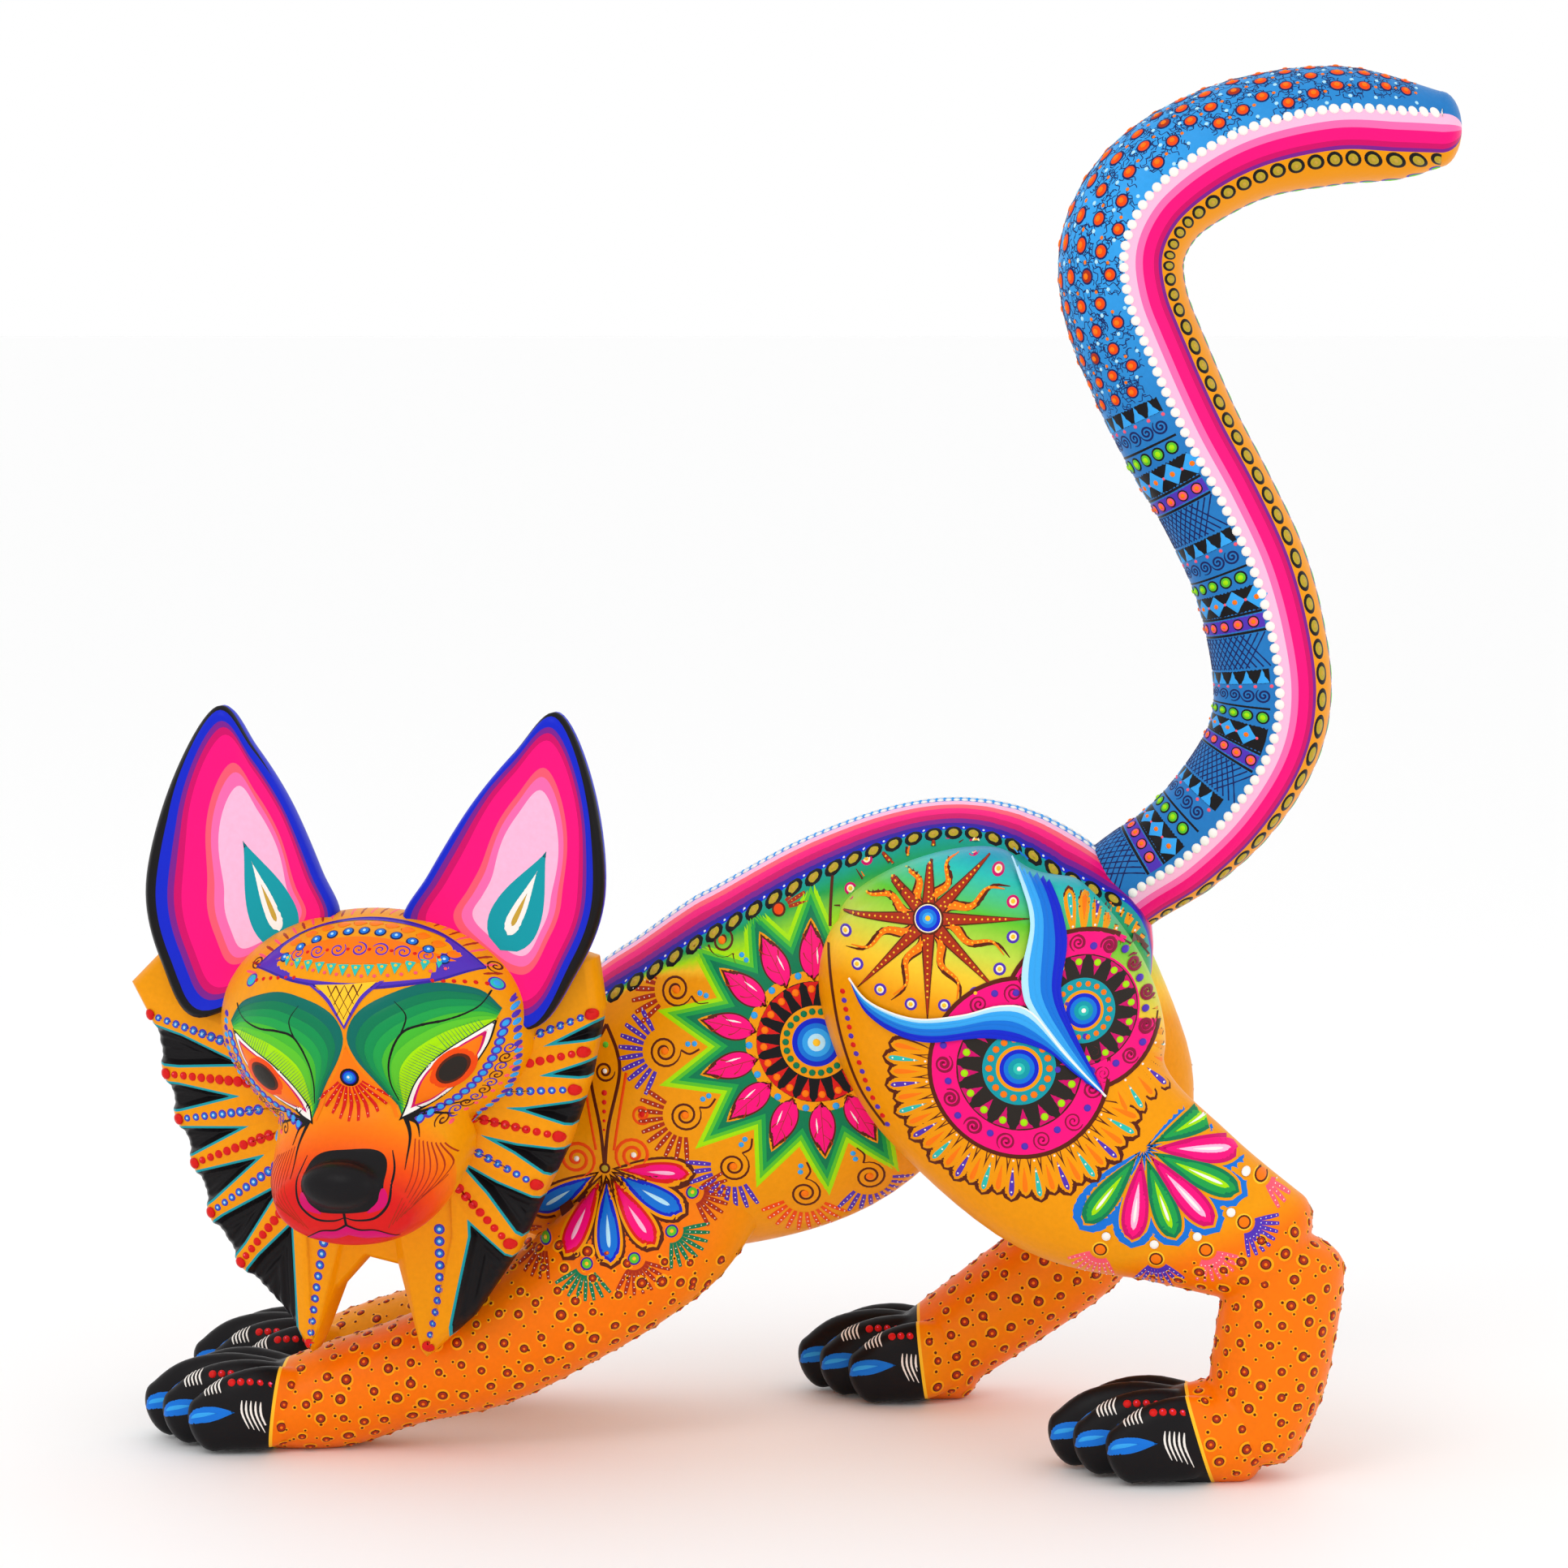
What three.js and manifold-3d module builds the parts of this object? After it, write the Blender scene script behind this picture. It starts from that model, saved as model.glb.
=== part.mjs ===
// An alebrije: a crouching wild cat carved in copal wood, its head turned to one side, with a mane round its
// face and a long tail held high. Millimetres, +Z up. The body runs along X with the head at -X, the face
// looks towards -Y, and the origin lies on the floor under the middle of the figure.
//
// It comes apart as a carver builds it: a torso, four legs on glued dowels, a mane and a head pinned on the
// neck by two long dowels, and two ears and a tail whose tenons only push into their sockets.
import * as THREE from "three";
import { mergeVertices } from "three/addons/utils/BufferGeometryUtils.js";
import Module from "manifold-3d";

const wasm = await Module();
wasm.setup();

// Driving dimensions.
const GAP = 0.3; // between pieces that touch
const SIDES = 14; // facets round a limb
const STEPS = 2; // rings from one station to the next
const DOWEL_RADIUS = 4;
const HOLE_EXTRA = 2; // how much deeper a dowel's hole is than the dowel is long
const LEG_DOWEL_LENGTH = 26;
const NECK_DOWEL_LENGTH = 40;
const EAR_TENON_RADIUS = 4.5;
const EAR_TENON_LENGTH = 17;
const EAR_TENON_ROOT = 12; // how far the tenon runs on inside the ear
const TAIL_TENON_RADIUS = 6.5;
const TAIL_TENON_LENGTH = 30;
const TAIL_TENON_ROOT = 8; // how far the tenon runs on inside the tail
const TAIL_LEAN = THREE.MathUtils.degToRad(40); // the tenon's slope
const HEAD_PLACE = new THREE.Vector3(-110, -52, 116); // middle of the skull's flat back
const HEAD_TURN = THREE.MathUtils.degToRad(-10);
const HEAD_BOW = THREE.MathUtils.degToRad(14);
const MANE_THICK = 12;
const MANE_BEVEL = 3;
const EAR_THICK = 9;
const EAR_BEVEL = 2;
const EAR_CLEARANCE = 2; // between an ear and the mane behind it
const MIDDLE = new THREE.Vector3(-1.2, -17.3, 0); // middle of the figure's outline, which becomes the origin
const FAR = 400; // wider than the figure, for cutting blocks
const SAME_POINT = 1e-4; // corners nearer than this are one corner

// ---------- Solids ----------

// A closed geometry, moved by a matrix, as a solid.
function solidOf(geometry, matrix = new THREE.Matrix4()) {
  const plain = geometry.clone().applyMatrix4(matrix);
  plain.deleteAttribute("normal");
  plain.deleteAttribute("uv");
  const merged = mergeVertices(plain, SAME_POINT);
  const vertProperties = new Float32Array(merged.attributes.position.array);
  const triVerts = new Uint32Array(merged.index.array);
  return new wasm.Manifold(new wasm.Mesh({ numProp: 3, vertProperties, triVerts }));
}

// A solid as one named piece of the figure.
function piece(name, solid, color, roughness = 0.5) {
  const { vertProperties, triVerts } = solid.getMesh();
  const geometry = new THREE.BufferGeometry();
  geometry.setAttribute("position", new THREE.BufferAttribute(new Float32Array(vertProperties), 3));
  geometry.setIndex(new THREE.BufferAttribute(new Uint32Array(triVerts), 1));
  geometry.computeVertexNormals();
  const mesh = new THREE.Mesh(geometry, new THREE.MeshStandardMaterial({ color, roughness, metalness: 0 }));
  mesh.name = name;
  return mesh;
}

const join = (...solids) => solids.reduce((sum, solid) => sum.add(solid));
const cut = (solid, ...tools) => tools.reduce((left, tool) => left.subtract(tool), solid);

// Rings of points joined up and closed at both ends, as a geometry.
function skin(rings) {
  const sides = rings[0].length;
  const middle = (ring) => ring.reduce((sum, p) => sum.add(p), new THREE.Vector3()).divideScalar(sides);
  const points = [...rings.flat(), middle(rings[0]), middle(rings.at(-1))];
  const start = points.length - 2;
  const top = (rings.length - 1) * sides;
  const faces = [];
  for (let k = 0; k < sides; k++) {
    const next = (k + 1) % sides;
    for (let row = 0; row < top; row += sides) {
      faces.push(row + k, row + next, row + k + sides);
      faces.push(row + next, row + next + sides, row + k + sides);
    }
    faces.push(start, next, k, start + 1, top + k, top + next);
  }
  const geometry = new THREE.BufferGeometry().setFromPoints(points);
  return geometry.setIndex(faces);
}

// A number from b to c on the Catmull-Rom curve through a, b, c, d.
function between(a, b, c, d, t) {
  const slope = (c - a) * t;
  const bend = (2 * a - 5 * b + 4 * c - d) * t * t;
  return 0.5 * (2 * b + slope + bend + (3 * b - a - 3 * c + d) * t * t * t);
}

// Stations [x, y, z, half height, half width] with a smooth run of more stations between them.
function smooth(stations, steps) {
  const at = (i) => stations[Math.min(Math.max(i, 0), stations.length - 1)];
  const run = [];
  for (let i = 0; i < stations.length - 1; i++) {
    for (let k = 0; k < steps; k++) {
      run.push(at(i).map((b, n) => between(at(i - 1)[n], b, at(i + 1)[n], at(i + 2)[n], k / steps)));
    }
  }
  return [...run, at(stations.length - 1)];
}

// A limb through stations [x, y, z, half height, half width]. Its sections lie square to its path, and their
// width runs along `across`. `caps` are how far its rounded ends bulge, and `grow` thickens it all over.
function limb(stations, { caps = [6, 6], grow = 0, steps = STEPS, across = [0, 1, 0] } = {}) {
  const run = smooth(stations, steps);
  const place = (i) => new THREE.Vector3(...run[Math.min(Math.max(i, 0), run.length - 1)].slice(0, 3));
  const ring = (i, push = 0, scale = 1) => {
    const forward = place(i + 1).sub(place(i - 1)).normalize();
    const side = new THREE.Vector3(...across).projectOnPlane(forward).normalize();
    const up = new THREE.Vector3().crossVectors(forward, side);
    const centre = place(i).addScaledVector(forward, push);
    return Array.from({ length: SIDES }, (_, k) => {
      const angle = (2 * Math.PI * k) / SIDES;
      const height = Math.sin(angle) * (run[i][3] + grow) * scale;
      const width = Math.cos(angle) * (run[i][4] + grow) * scale;
      return centre.clone().addScaledVector(up, height).addScaledVector(side, width);
    });
  };
  const turns = [0.93, 0.7, 0.35]; // where the rounded ends have their rings
  const width = (t) => Math.sqrt(1 - t * t);
  const last = run.length - 1;
  const front = turns.map((t) => ring(0, -t * (caps[0] + grow), width(t)));
  const back = turns.toReversed().map((t) => ring(last, t * (caps[1] + grow), width(t)));
  return solidOf(skin([...front, ...run.map((_, i) => ring(i)), ...back]));
}

// A round peg from a point, along a direction.
function peg(from, direction, length, radius) {
  const geometry = new THREE.CylinderGeometry(radius, radius, length, SIDES);
  geometry.translate(0, length / 2, 0);
  const turn = new THREE.Quaternion().setFromUnitVectors(new THREE.Vector3(0, 1, 0), direction);
  return solidOf(geometry, new THREE.Matrix4().compose(from, turn, new THREE.Vector3(1, 1, 1)));
}

// A ball with three radii, in the frame of a matrix.
function ball(centre, radii, matrix) {
  const geometry = new THREE.SphereGeometry(1, 20, 12);
  geometry.scale(...radii).translate(...centre);
  return solidOf(geometry, matrix);
}

// A smooth plate: the outline through points [across, up], from `front` to `back` in the frame of a matrix.
function plate(outline, front, back, bevel, matrix) {
  const curve = new THREE.SplineCurve([...outline, outline[0]].map((p) => new THREE.Vector2(...p)));
  const shape = new THREE.Shape(curve.getPoints(outline.length * 2).slice(0, -1));
  const depth = back - front - 2 * bevel;
  const bevels = { bevelThickness: bevel, bevelSize: bevel, bevelOffset: -bevel, bevelSegments: 2 };
  const geometry = new THREE.ExtrudeGeometry(shape, { depth, ...bevels });
  geometry.rotateX(Math.PI / 2).translate(0, back - bevel, 0);
  return solidOf(geometry, matrix);
}

// Everything on one side of a plane across the second axis of a matrix's frame.
function block(start, direction, matrix) {
  const geometry = new THREE.BoxGeometry(2 * FAR, FAR, 2 * FAR);
  return solidOf(geometry.translate(0, start + (direction * FAR) / 2, 0), matrix);
}

const underFloor = solidOf(new THREE.BoxGeometry(2 * FAR, 2 * FAR, FAR).translate(0, 0, -FAR / 2));

// ---------- Frames of the head ----------

const unit = new THREE.Vector3(1, 1, 1);
const maneFrame = new THREE.Matrix4().compose(
  HEAD_PLACE,
  new THREE.Quaternion().setFromEuler(new THREE.Euler(0, 0, HEAD_TURN)),
  unit,
);
const headFrame = maneFrame.clone().multiply(new THREE.Matrix4().makeRotationX(HEAD_BOW));
const inMane = (...p) => new THREE.Vector3(...p).applyMatrix4(maneFrame);
const maneDirection = (...p) => new THREE.Vector3(...p).transformDirection(maneFrame);

// ---------- Torso and neck ----------

const TRUNK = [
  [-88, -6, 100, 33, 27],
  [-62, 0, 91, 38, 32],
  [-34, 0, 97, 46, 35],
  [-4, 0, 110, 51, 36],
  [24, 0, 127, 47, 35],
  [50, 0, 132, 48, 36],
  [76, 0, 124, 40, 32],
];
const NECK = [
  [-72, -2, 96, 28, 26],
  [-92, -10, 104, 28, 26],
  [-104, -28, 110, 26, 26],
  [-107, -52, 112, 25, 25],
];

function torsoBlank(grow = 0) {
  const trunk = limb(TRUNK, { caps: [14, 22], grow });
  const neck = limb(NECK, { caps: [4, 4], grow, across: [1, 0, 0] });
  return join(trunk, cut(neck, block(MANE_THICK + GAP - grow, -1, maneFrame)));
}

// ---------- Legs ----------

// Hind thighs start on the rump and run down to the hock. side is -1 for the left legs and 1 for the right.
const thigh = (side) => [
  [38, side * 29, 160, 26, 22],
  [44, side * 32, 145, 40, 28],
  [61, side * 33, 118, 44, 30],
  [81, side * 42, 91, 34.5, 22],
];
const hindLeg = {
  [-1]: {
    bones: [
      [...thigh(-1), [109, -48, 76, 24, 17], [134, -49, 64, 17, 16]],
      [[138, -49, 60, 16, 15], [136, -49, 46, 16.5, 15], [133, -49, 28, 16, 15], [129, -49, 13, 14, 15]],
      [[124, -49, 13, 15, 16], [108, -49, 12, 15, 18], [92, -49, 11, 13.5, 19], [80, -49, 8, 10.5, 17]],
    ],
    dowels: [[36, 142], [66, 118]],
  },
  1: {
    bones: [
      [...thigh(1), [90, 46, 66, 22, 17]],
      [[90, 46, 60, 17, 16], [78, 46, 44, 16, 15], [56, 46, 27, 15, 15], [38, 46, 14, 14, 15]],
      [[42, 46, 14, 15, 15], [28, 46, 12, 13.5, 17], [14, 46, 11, 12, 18], [4, 46, 8, 10, 16]],
    ],
    dowels: [[36, 142], [66, 118]],
  },
};

// Forelegs lie along the floor in one run. `shift` leads the paw back a little from its shoulder.
const foreBones = (side, shift) => [
  [
    [-34, side * 26, 66, 24, 13],
    [-48, side * 27, 54, 21, 15],
    [-66, side * 28, 41, 19, 16],
    [-87, side * 29, 29, 17.5, 16],
    [-110, side * 29, 21, 15, 15.5],
    [-129, side * 29, 14.5, 15, 15.5],
    [-146, side * 29, 12, 14, 17],
    [-164, side * 29, 11, 13, 18],
    [-178, side * 29, 8, 10, 16],
  ].map(([x, ...rest]) => [x + shift * THREE.MathUtils.clamp(-x / 100, 0, 1), ...rest]),
];

function legBlank(bones, grow = 0) {
  return join(...bones.map((stations) => limb(stations, { caps: [9, 9], grow })));
}

// A leg with its flat sole, its seat on the torso and the holes for its dowels.
const legSolid = (bones, holes) => cut(legBlank(bones), torsoGrown, underFloor, ...holes);

// A dowel between the torso and a leg, and the hole that it sits in.
function dowel(middle, direction, length) {
  const along = direction.clone().normalize();
  const from = (reach) => middle.clone().addScaledVector(along, -reach / 2);
  return {
    pin: peg(from(length), along, length, DOWEL_RADIUS),
    hole: peg(from(length + HOLE_EXTRA), along, length + HOLE_EXTRA, DOWEL_RADIUS + GAP),
  };
}

const hindDowels = (side) =>
  hindLeg[side].dowels.map(([x, z]) =>
    dowel(new THREE.Vector3(x, side * 35, z), new THREE.Vector3(0, side, 0), LEG_DOWEL_LENGTH),
  );
const foreDowel = (side) =>
  dowel(
    new THREE.Vector3(-55, side * 23, 58),
    new THREE.Vector3(-0.45, side * 0.3, -0.84),
    LEG_DOWEL_LENGTH,
  );

// ---------- Mane, head and ears ----------

// Outline of the mane round the face, clockwise from its upper left: locks, two hanging tufts, locks.
const MANE_OUTLINE = [
  [-73, 17], [-68, 6], [-69, -4], [-65, -19], [-58, -38], [-54, -50], [-46, -62], [-35, -73], [-24, -86],
  [-17, -68], [-8, -58], [2, -60], [9, -86], [22, -74], [35, -55], [42, -40], [50, -24], [56, -6], [60, 14],
  [58, 28], [40, 33], [20, 34], [0, 34], [-24, 34], [-50, 33], [-66, 28],
];
const SKULL = [[-2, 0, 0], [43, 30, 41]]; // middle and radii
const CROWN = [[-1, -6, 8], [36, 27, 34]];
const MUZZLE = [
  [0, -14, -16, 24, 31],
  [0, -26, -23, 21, 29],
  [0, -38, -27, 17.5, 26.5],
  [0, -47, -28, 13.5, 22],
];
const CHEEKS = [[-1, -10, -20], [37, 20, 26]];

function headBlank(grow = 0) {
  const grown = ([centre, radii]) => ball(centre, radii.map((r) => r + grow), headFrame);
  const muzzle = limb(MUZZLE, { caps: [4, 5], grow, across: [1, 0, 0] }).transform(headFrame.elements);
  const back = block(-GAP + grow, 1, maneFrame);
  return cut(join(grown(SKULL), grown(CROWN), grown(CHEEKS), muzzle), back);
}

// Outline of an ear as [across, up], from its tip down the inner edge to its lower point and back, and how
// each ear is set: how far out it stands, and how far it leans out with height.
const EAR_LEAF = [
  [0, 95], [-10, 85], [-18, 70], [-28, 50], [-37, 36], [-26, 24], [0, 9], [12, 24], [18, 46], [12, 75],
];
const EAR_SET = { [-1]: { middle: 50, lean: -0.07 }, 1: { middle: 46, lean: 0.11 } };
const EAR_CUP = { across: 43, up: 50, radii: [15, 5, 34] }; // the ball that hollows an ear's front

// An ear: a leaf held flat to the mane, cupped in front. side is -1 for the right ear, 1 for the left.
const earTenonAxis = (side) => maneDirection(side * 0.62, 0, 0.78);
const earTenonFoot = (side) => inMane(side * 20, -EAR_CLEARANCE - EAR_THICK / 2, 25);
function earSolid(side) {
  const { middle, lean } = EAR_SET[side];
  const outline = EAR_LEAF.map(([across, up]) => [side * (middle + lean * (up - 50) + across), up]);
  const turned = side < 0 ? outline : outline.reverse();
  const front = -EAR_CLEARANCE - EAR_THICK;
  const leaf = plate(turned, front, -EAR_CLEARANCE, EAR_BEVEL, maneFrame);
  const cup = ball([side * EAR_CUP.across, front - 1, EAR_CUP.up], EAR_CUP.radii, maneFrame);
  const length = EAR_TENON_LENGTH + EAR_TENON_ROOT;
  const tenon = peg(earTenonFoot(side), earTenonAxis(side), length, EAR_TENON_RADIUS);
  return join(cut(leaf, cup, headGrown), tenon);
}
function earSocket(side) {
  const foot = earTenonFoot(side).addScaledVector(earTenonAxis(side), -1);
  return peg(foot, earTenonAxis(side), EAR_TENON_LENGTH + 20, EAR_TENON_RADIUS + GAP);
}

// ---------- Tail ----------

// Middle line and half thickness of the tail from its root to its tip: [x, z, radius].
const TAIL = [
  [84, 152, 13.5], [96, 161, 14], [108, 169, 14.5], [121, 182, 15.5], [131, 198, 16], [134, 213, 16.5],
  [132, 230, 16.5], [127, 248, 16.5], [118, 267, 16.5], [108, 285, 17], [99, 304, 17.5], [92, 322, 17.5],
  [91, 338, 17.5], [98, 352, 17.5], [111, 362, 17.5], [128, 369, 17], [149, 372, 16.5], [167, 371, 14],
  [179, 371, 10.5],
];
const tailAxis = new THREE.Vector3(Math.cos(TAIL_LEAN), 0, Math.sin(TAIL_LEAN));
const tailSeat = new THREE.Vector3(92, 0, 159);

function tailPeg(length, radius) {
  const foot = tailSeat.clone().addScaledVector(tailAxis, -length);
  return peg(foot, tailAxis, length + TAIL_TENON_ROOT, radius);
}

function tailSolid() {
  const stations = TAIL.map(([x, z, radius]) => [x, 0, z, radius, radius]);
  const body = cut(limb(stations, { caps: [2, 6] }), torsoGrown);
  return join(body, tailPeg(TAIL_TENON_LENGTH, TAIL_TENON_RADIUS));
}

// ---------- Figure ----------

const torsoGrown = torsoBlank(GAP);
const headGrown = headBlank(GAP);
const neckDowels = [8, -18].map((up) => {
  const middle = inMane(3, MANE_THICK / 2, up);
  return dowel(middle, maneDirection(0, 1, 0), NECK_DOWEL_LENGTH);
});
const neckHoles = neckDowels.map(({ hole }) => hole);
const tailSocket = tailPeg(TAIL_TENON_LENGTH + 1, TAIL_TENON_RADIUS + GAP);

const ORANGE = 0xf0a01c;
const COPAL = 0xd9c19a;
const figure = new THREE.Group();
const pins = {
  left_hind: hindDowels(-1),
  right_hind: hindDowels(1),
  left_fore: [foreDowel(-1)],
  right_fore: [foreDowel(1)],
};
const holesOf = (leg) => pins[leg].map(({ hole }) => hole);
const legHoles = Object.keys(pins).flatMap(holesOf);

const foreLegs = { left_fore: foreBones(-1, 0), right_fore: foreBones(1, 3) };
const maneBlank = plate(MANE_OUTLINE, 0, MANE_THICK, MANE_BEVEL, maneFrame);

figure.add(piece("torso", cut(torsoBlank(), ...legHoles, ...neckHoles, tailSocket), ORANGE));
figure.add(piece("left_hind_leg", legSolid(hindLeg[-1].bones, holesOf("left_hind")), ORANGE));
figure.add(piece("right_hind_leg", legSolid(hindLeg[1].bones, holesOf("right_hind")), ORANGE));
figure.add(piece("left_fore_leg", legSolid(foreLegs.left_fore, holesOf("left_fore")), ORANGE));
figure.add(piece("right_fore_leg", legSolid(foreLegs.right_fore, holesOf("right_fore")), ORANGE));
figure.add(piece("mane", cut(maneBlank, legBlank(foreLegs.left_fore, GAP), ...neckHoles), ORANGE));
figure.add(piece("head", cut(headBlank(), ...neckHoles, earSocket(-1), earSocket(1)), 0x49a33c));
figure.add(piece("right_ear", earSolid(-1), 0xc2185b));
figure.add(piece("left_ear", earSolid(1), 0xc2185b));
figure.add(piece("tail", tailSolid(), 0x3f8fc4));
for (const [leg, dowels] of Object.entries(pins)) {
  dowels.forEach(({ pin }, i) => figure.add(piece(`${leg}_leg_dowel_${i + 1}`, pin, COPAL, 0.8)));
}
neckDowels.forEach(({ pin }, i) => figure.add(piece(`neck_dowel_${i + 1}`, pin, COPAL, 0.8)));

const object = new THREE.Group();
figure.position.copy(MIDDLE).negate();
object.add(figure);

export default object;
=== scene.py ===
"""The looks of a carved and painted alebrije: a crouching wild cat in copal wood.

Every carved piece gets a fine surface built from the same stations as its CAD solid, and on it lie the
painter's marks: thin raised strokes, petals, rings and dots of acrylic, each drawn by a formula in
millimetres on the carved surface. Lengths are millimetres in the figure's own axes until a mesh is made.
"""

import math

import bpy
import numpy as np
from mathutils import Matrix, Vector
from mathutils.bvhtree import BVHTree


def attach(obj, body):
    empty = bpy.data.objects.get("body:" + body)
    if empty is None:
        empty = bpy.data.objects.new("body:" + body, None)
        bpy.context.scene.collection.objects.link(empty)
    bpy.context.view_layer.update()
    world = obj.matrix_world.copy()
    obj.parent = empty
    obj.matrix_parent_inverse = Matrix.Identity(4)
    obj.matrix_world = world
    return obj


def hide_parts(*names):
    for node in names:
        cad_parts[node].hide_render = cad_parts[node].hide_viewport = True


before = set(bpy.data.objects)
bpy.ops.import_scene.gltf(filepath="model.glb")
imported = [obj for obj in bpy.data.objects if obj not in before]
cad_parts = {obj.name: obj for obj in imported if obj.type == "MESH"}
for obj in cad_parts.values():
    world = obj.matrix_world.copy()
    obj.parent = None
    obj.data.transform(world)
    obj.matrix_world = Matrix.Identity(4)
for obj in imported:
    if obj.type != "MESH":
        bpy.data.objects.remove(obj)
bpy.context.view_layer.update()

MM = 0.001
MIDDLE = np.array([-1.2, -17.3, 0.0])  # the figure's middle, which is the row's origin
TAU = 2 * math.pi
rng = np.random.default_rng(7)
SPECULAR = 0.12  # acrylic and waxed wood shine less than bare plastic
BRUSH_DEPTH = 0.0004  # of a brush mark in the bump, in metres

# ---------------------------------------------------------------- Paints

PAINTS = {
    "marigold": "#F29A00",
    "amber": "#FA7800",
    "deep_orange": "#F04A06",
    "orange": "#FC7A08",
    "honey": "#FFA60A",
    "yellow": "#FFC52A",
    "cream": "#FFF1C4",
    "white": "#F7F3EC",
    "black": "#161416",
    "soot": "#2A2420",
    "brown": "#5A2210",
    "brick": "#A92E14",
    "maroon": "#8E0F3C",
    "red": "#D81A18",
    "coral": "#FF5A72",
    "magenta": "#D00668",
    "hot_pink": "#FA0A7C",
    "pink": "#FF6BAE",
    "pale_pink": "#FFBBDB",
    "purple": "#7C1F8E",
    "indigo": "#38229A",
    "violet": "#5232B4",
    "royal": "#1226C8",
    "azure": "#1473D8",
    "cerulean": "#2479C0",
    "sky": "#35A4EE",
    "ice": "#B4E6FB",
    "navy": "#16245E",
    "teal": "#0E9AA6",
    "sea": "#2BC0B4",
    "pine": "#0A6B5E",
    "forest": "#0C7A50",
    "jade": "#128F4E",
    "fern": "#45B830",
    "green": "#1FA04A",
    "leaf": "#5CC42C",
    "lime": "#A6E400",
    "pear": "#C4DC48",
    "olive": "#B9A22A",
    "gold": "#C9A23A",
    "sapwood": "#E2C08C",
    "heartwood": "#B98A55",
}


def linear(name):
    """A paint's colour as linear red, green and blue."""
    text = PAINTS[name].lstrip("#")
    parts = [int(text[i : i + 2], 16) / 255 for i in (0, 2, 4)]
    return [c / 12.92 if c <= 0.04045 else ((c + 0.055) / 1.055) ** 2.4 for c in parts]


def shader(name, roughness):
    """A new material and its Principled node."""
    material = bpy.data.materials.new(name)
    material.use_nodes = True
    principled = material.node_tree.nodes["Principled BSDF"]
    principled.inputs["Roughness"].default_value = roughness
    principled.inputs["Specular IOR Level"].default_value = SPECULAR
    return material, principled


def add_node(material, kind, **values):
    """A node with its settings and its input values."""
    node = material.node_tree.nodes.new(kind)
    for key, value in values.items():
        if hasattr(node, key):
            setattr(node, key, value)
        else:
            node.inputs[key.replace("_", " ")].default_value = value
    return node


def brushed(material, principled, scale, strength):
    """Brush marks: fine noise in the height and in the gloss."""
    link = material.node_tree.links.new
    place = add_node(material, "ShaderNodeTexCoord")
    noise = add_node(material, "ShaderNodeTexNoise", Scale=scale, Detail=3.0)
    bump = add_node(material, "ShaderNodeBump", Strength=strength, Distance=BRUSH_DEPTH)
    link(place.outputs["Object"], noise.inputs["Vector"])
    link(noise.outputs["Fac"], bump.inputs["Height"])
    link(bump.outputs["Normal"], principled.inputs["Normal"])
    return noise


_made = {}


def acrylic(paint, roughness=0.34):
    """One plain coat of a paint, with brush marks in its height."""
    if paint not in _made:
        material, principled = shader("paint_" + paint, roughness)
        principled.inputs["Base Color"].default_value = (*linear(paint), 1)
        brushed(material, principled, 900.0, 0.12)
        _made[paint] = material
    return _made[paint]


def washed(name, roughness=0.36, border=None):
    """A ground coat whose colour the carver blended over the wood, kept in the mesh as "wash".

    border is (attribute, [(position, paint)...]): where the attribute passes a position the paint
    takes over, which gives hard edges.
    """
    material, principled = shader(name, roughness)
    link = material.node_tree.links.new
    wash = add_node(material, "ShaderNodeAttribute", attribute_name="wash")
    noise = brushed(material, principled, 700.0, 0.16)
    uneven = add_node(material, "ShaderNodeMix", data_type="RGBA", blend_type="MULTIPLY")
    shade = add_node(material, "ShaderNodeMapRange")
    shade.inputs["To Min"].default_value = 0.9
    shade.inputs["To Max"].default_value = 1.06
    uneven.inputs["Factor"].default_value = 1.0
    link(noise.outputs["Fac"], shade.inputs["Value"])
    link(wash.outputs["Color"], uneven.inputs["A"])
    link(shade.outputs["Result"], uneven.inputs["B"])
    colour = uneven.outputs["Result"]
    if border:
        colour = bordered(material, colour, *border)
    link(colour, principled.inputs["Base Color"])
    return material


def bordered(material, colour, attribute, bands):
    """A colour with hard-edged bands over it: (lowest attribute value, paint) from low to high."""
    link = material.node_tree.links.new
    where = add_node(material, "ShaderNodeAttribute", attribute_name=attribute)
    for lowest, paint in bands:
        step = add_node(material, "ShaderNodeMath", operation="GREATER_THAN")
        step.inputs[1].default_value = lowest
        mix = add_node(material, "ShaderNodeMix", data_type="RGBA")
        mix.inputs["B"].default_value = (*linear(paint), 1)
        link(where.outputs["Fac"], step.inputs[0])
        link(step.outputs[0], mix.inputs["Factor"])
        link(colour, mix.inputs["A"])
        colour = mix.outputs["Result"]
    return colour


def blend(amount, *stops):
    """Paints mixed along an amount: stops are (position, paint)."""
    places = [place for place, _ in stops]
    colours = np.array([linear(paint) for _, paint in stops])
    return np.stack([np.interp(amount, places, colours[:, i]) for i in range(3)], axis=-1)


# ---------------------------------------------------------------- Shapes


def heading(angle):
    """The direction at one angle."""
    return np.array([math.cos(angle), math.sin(angle)])


def quarter_turn(way):
    """The direction at a right angle to one."""
    return np.array([-way[1], way[0]])


def circle(sides):
    """The directions evenly round a circle."""
    angle = np.arange(sides) * TAU / sides
    return np.stack([np.cos(angle), np.sin(angle)], axis=-1)


def smooth(stations, steps):
    """Stations with a Catmull-Rom run of more stations between them."""
    known = np.asarray(stations, float)
    padded = np.vstack([known[:1], known, known[-1:]])
    run = []
    for i in range(len(known) - 1):
        a, b, c, d = padded[i : i + 4]
        for t in np.arange(steps) / steps:
            cubic = (3 * b - a - 3 * c + d) * t**3
            run.append(0.5 * (2 * b + (c - a) * t + (2 * a - 5 * b + 4 * c - d) * t**2 + cubic))
    return np.array([*run, known[-1]])


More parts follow.
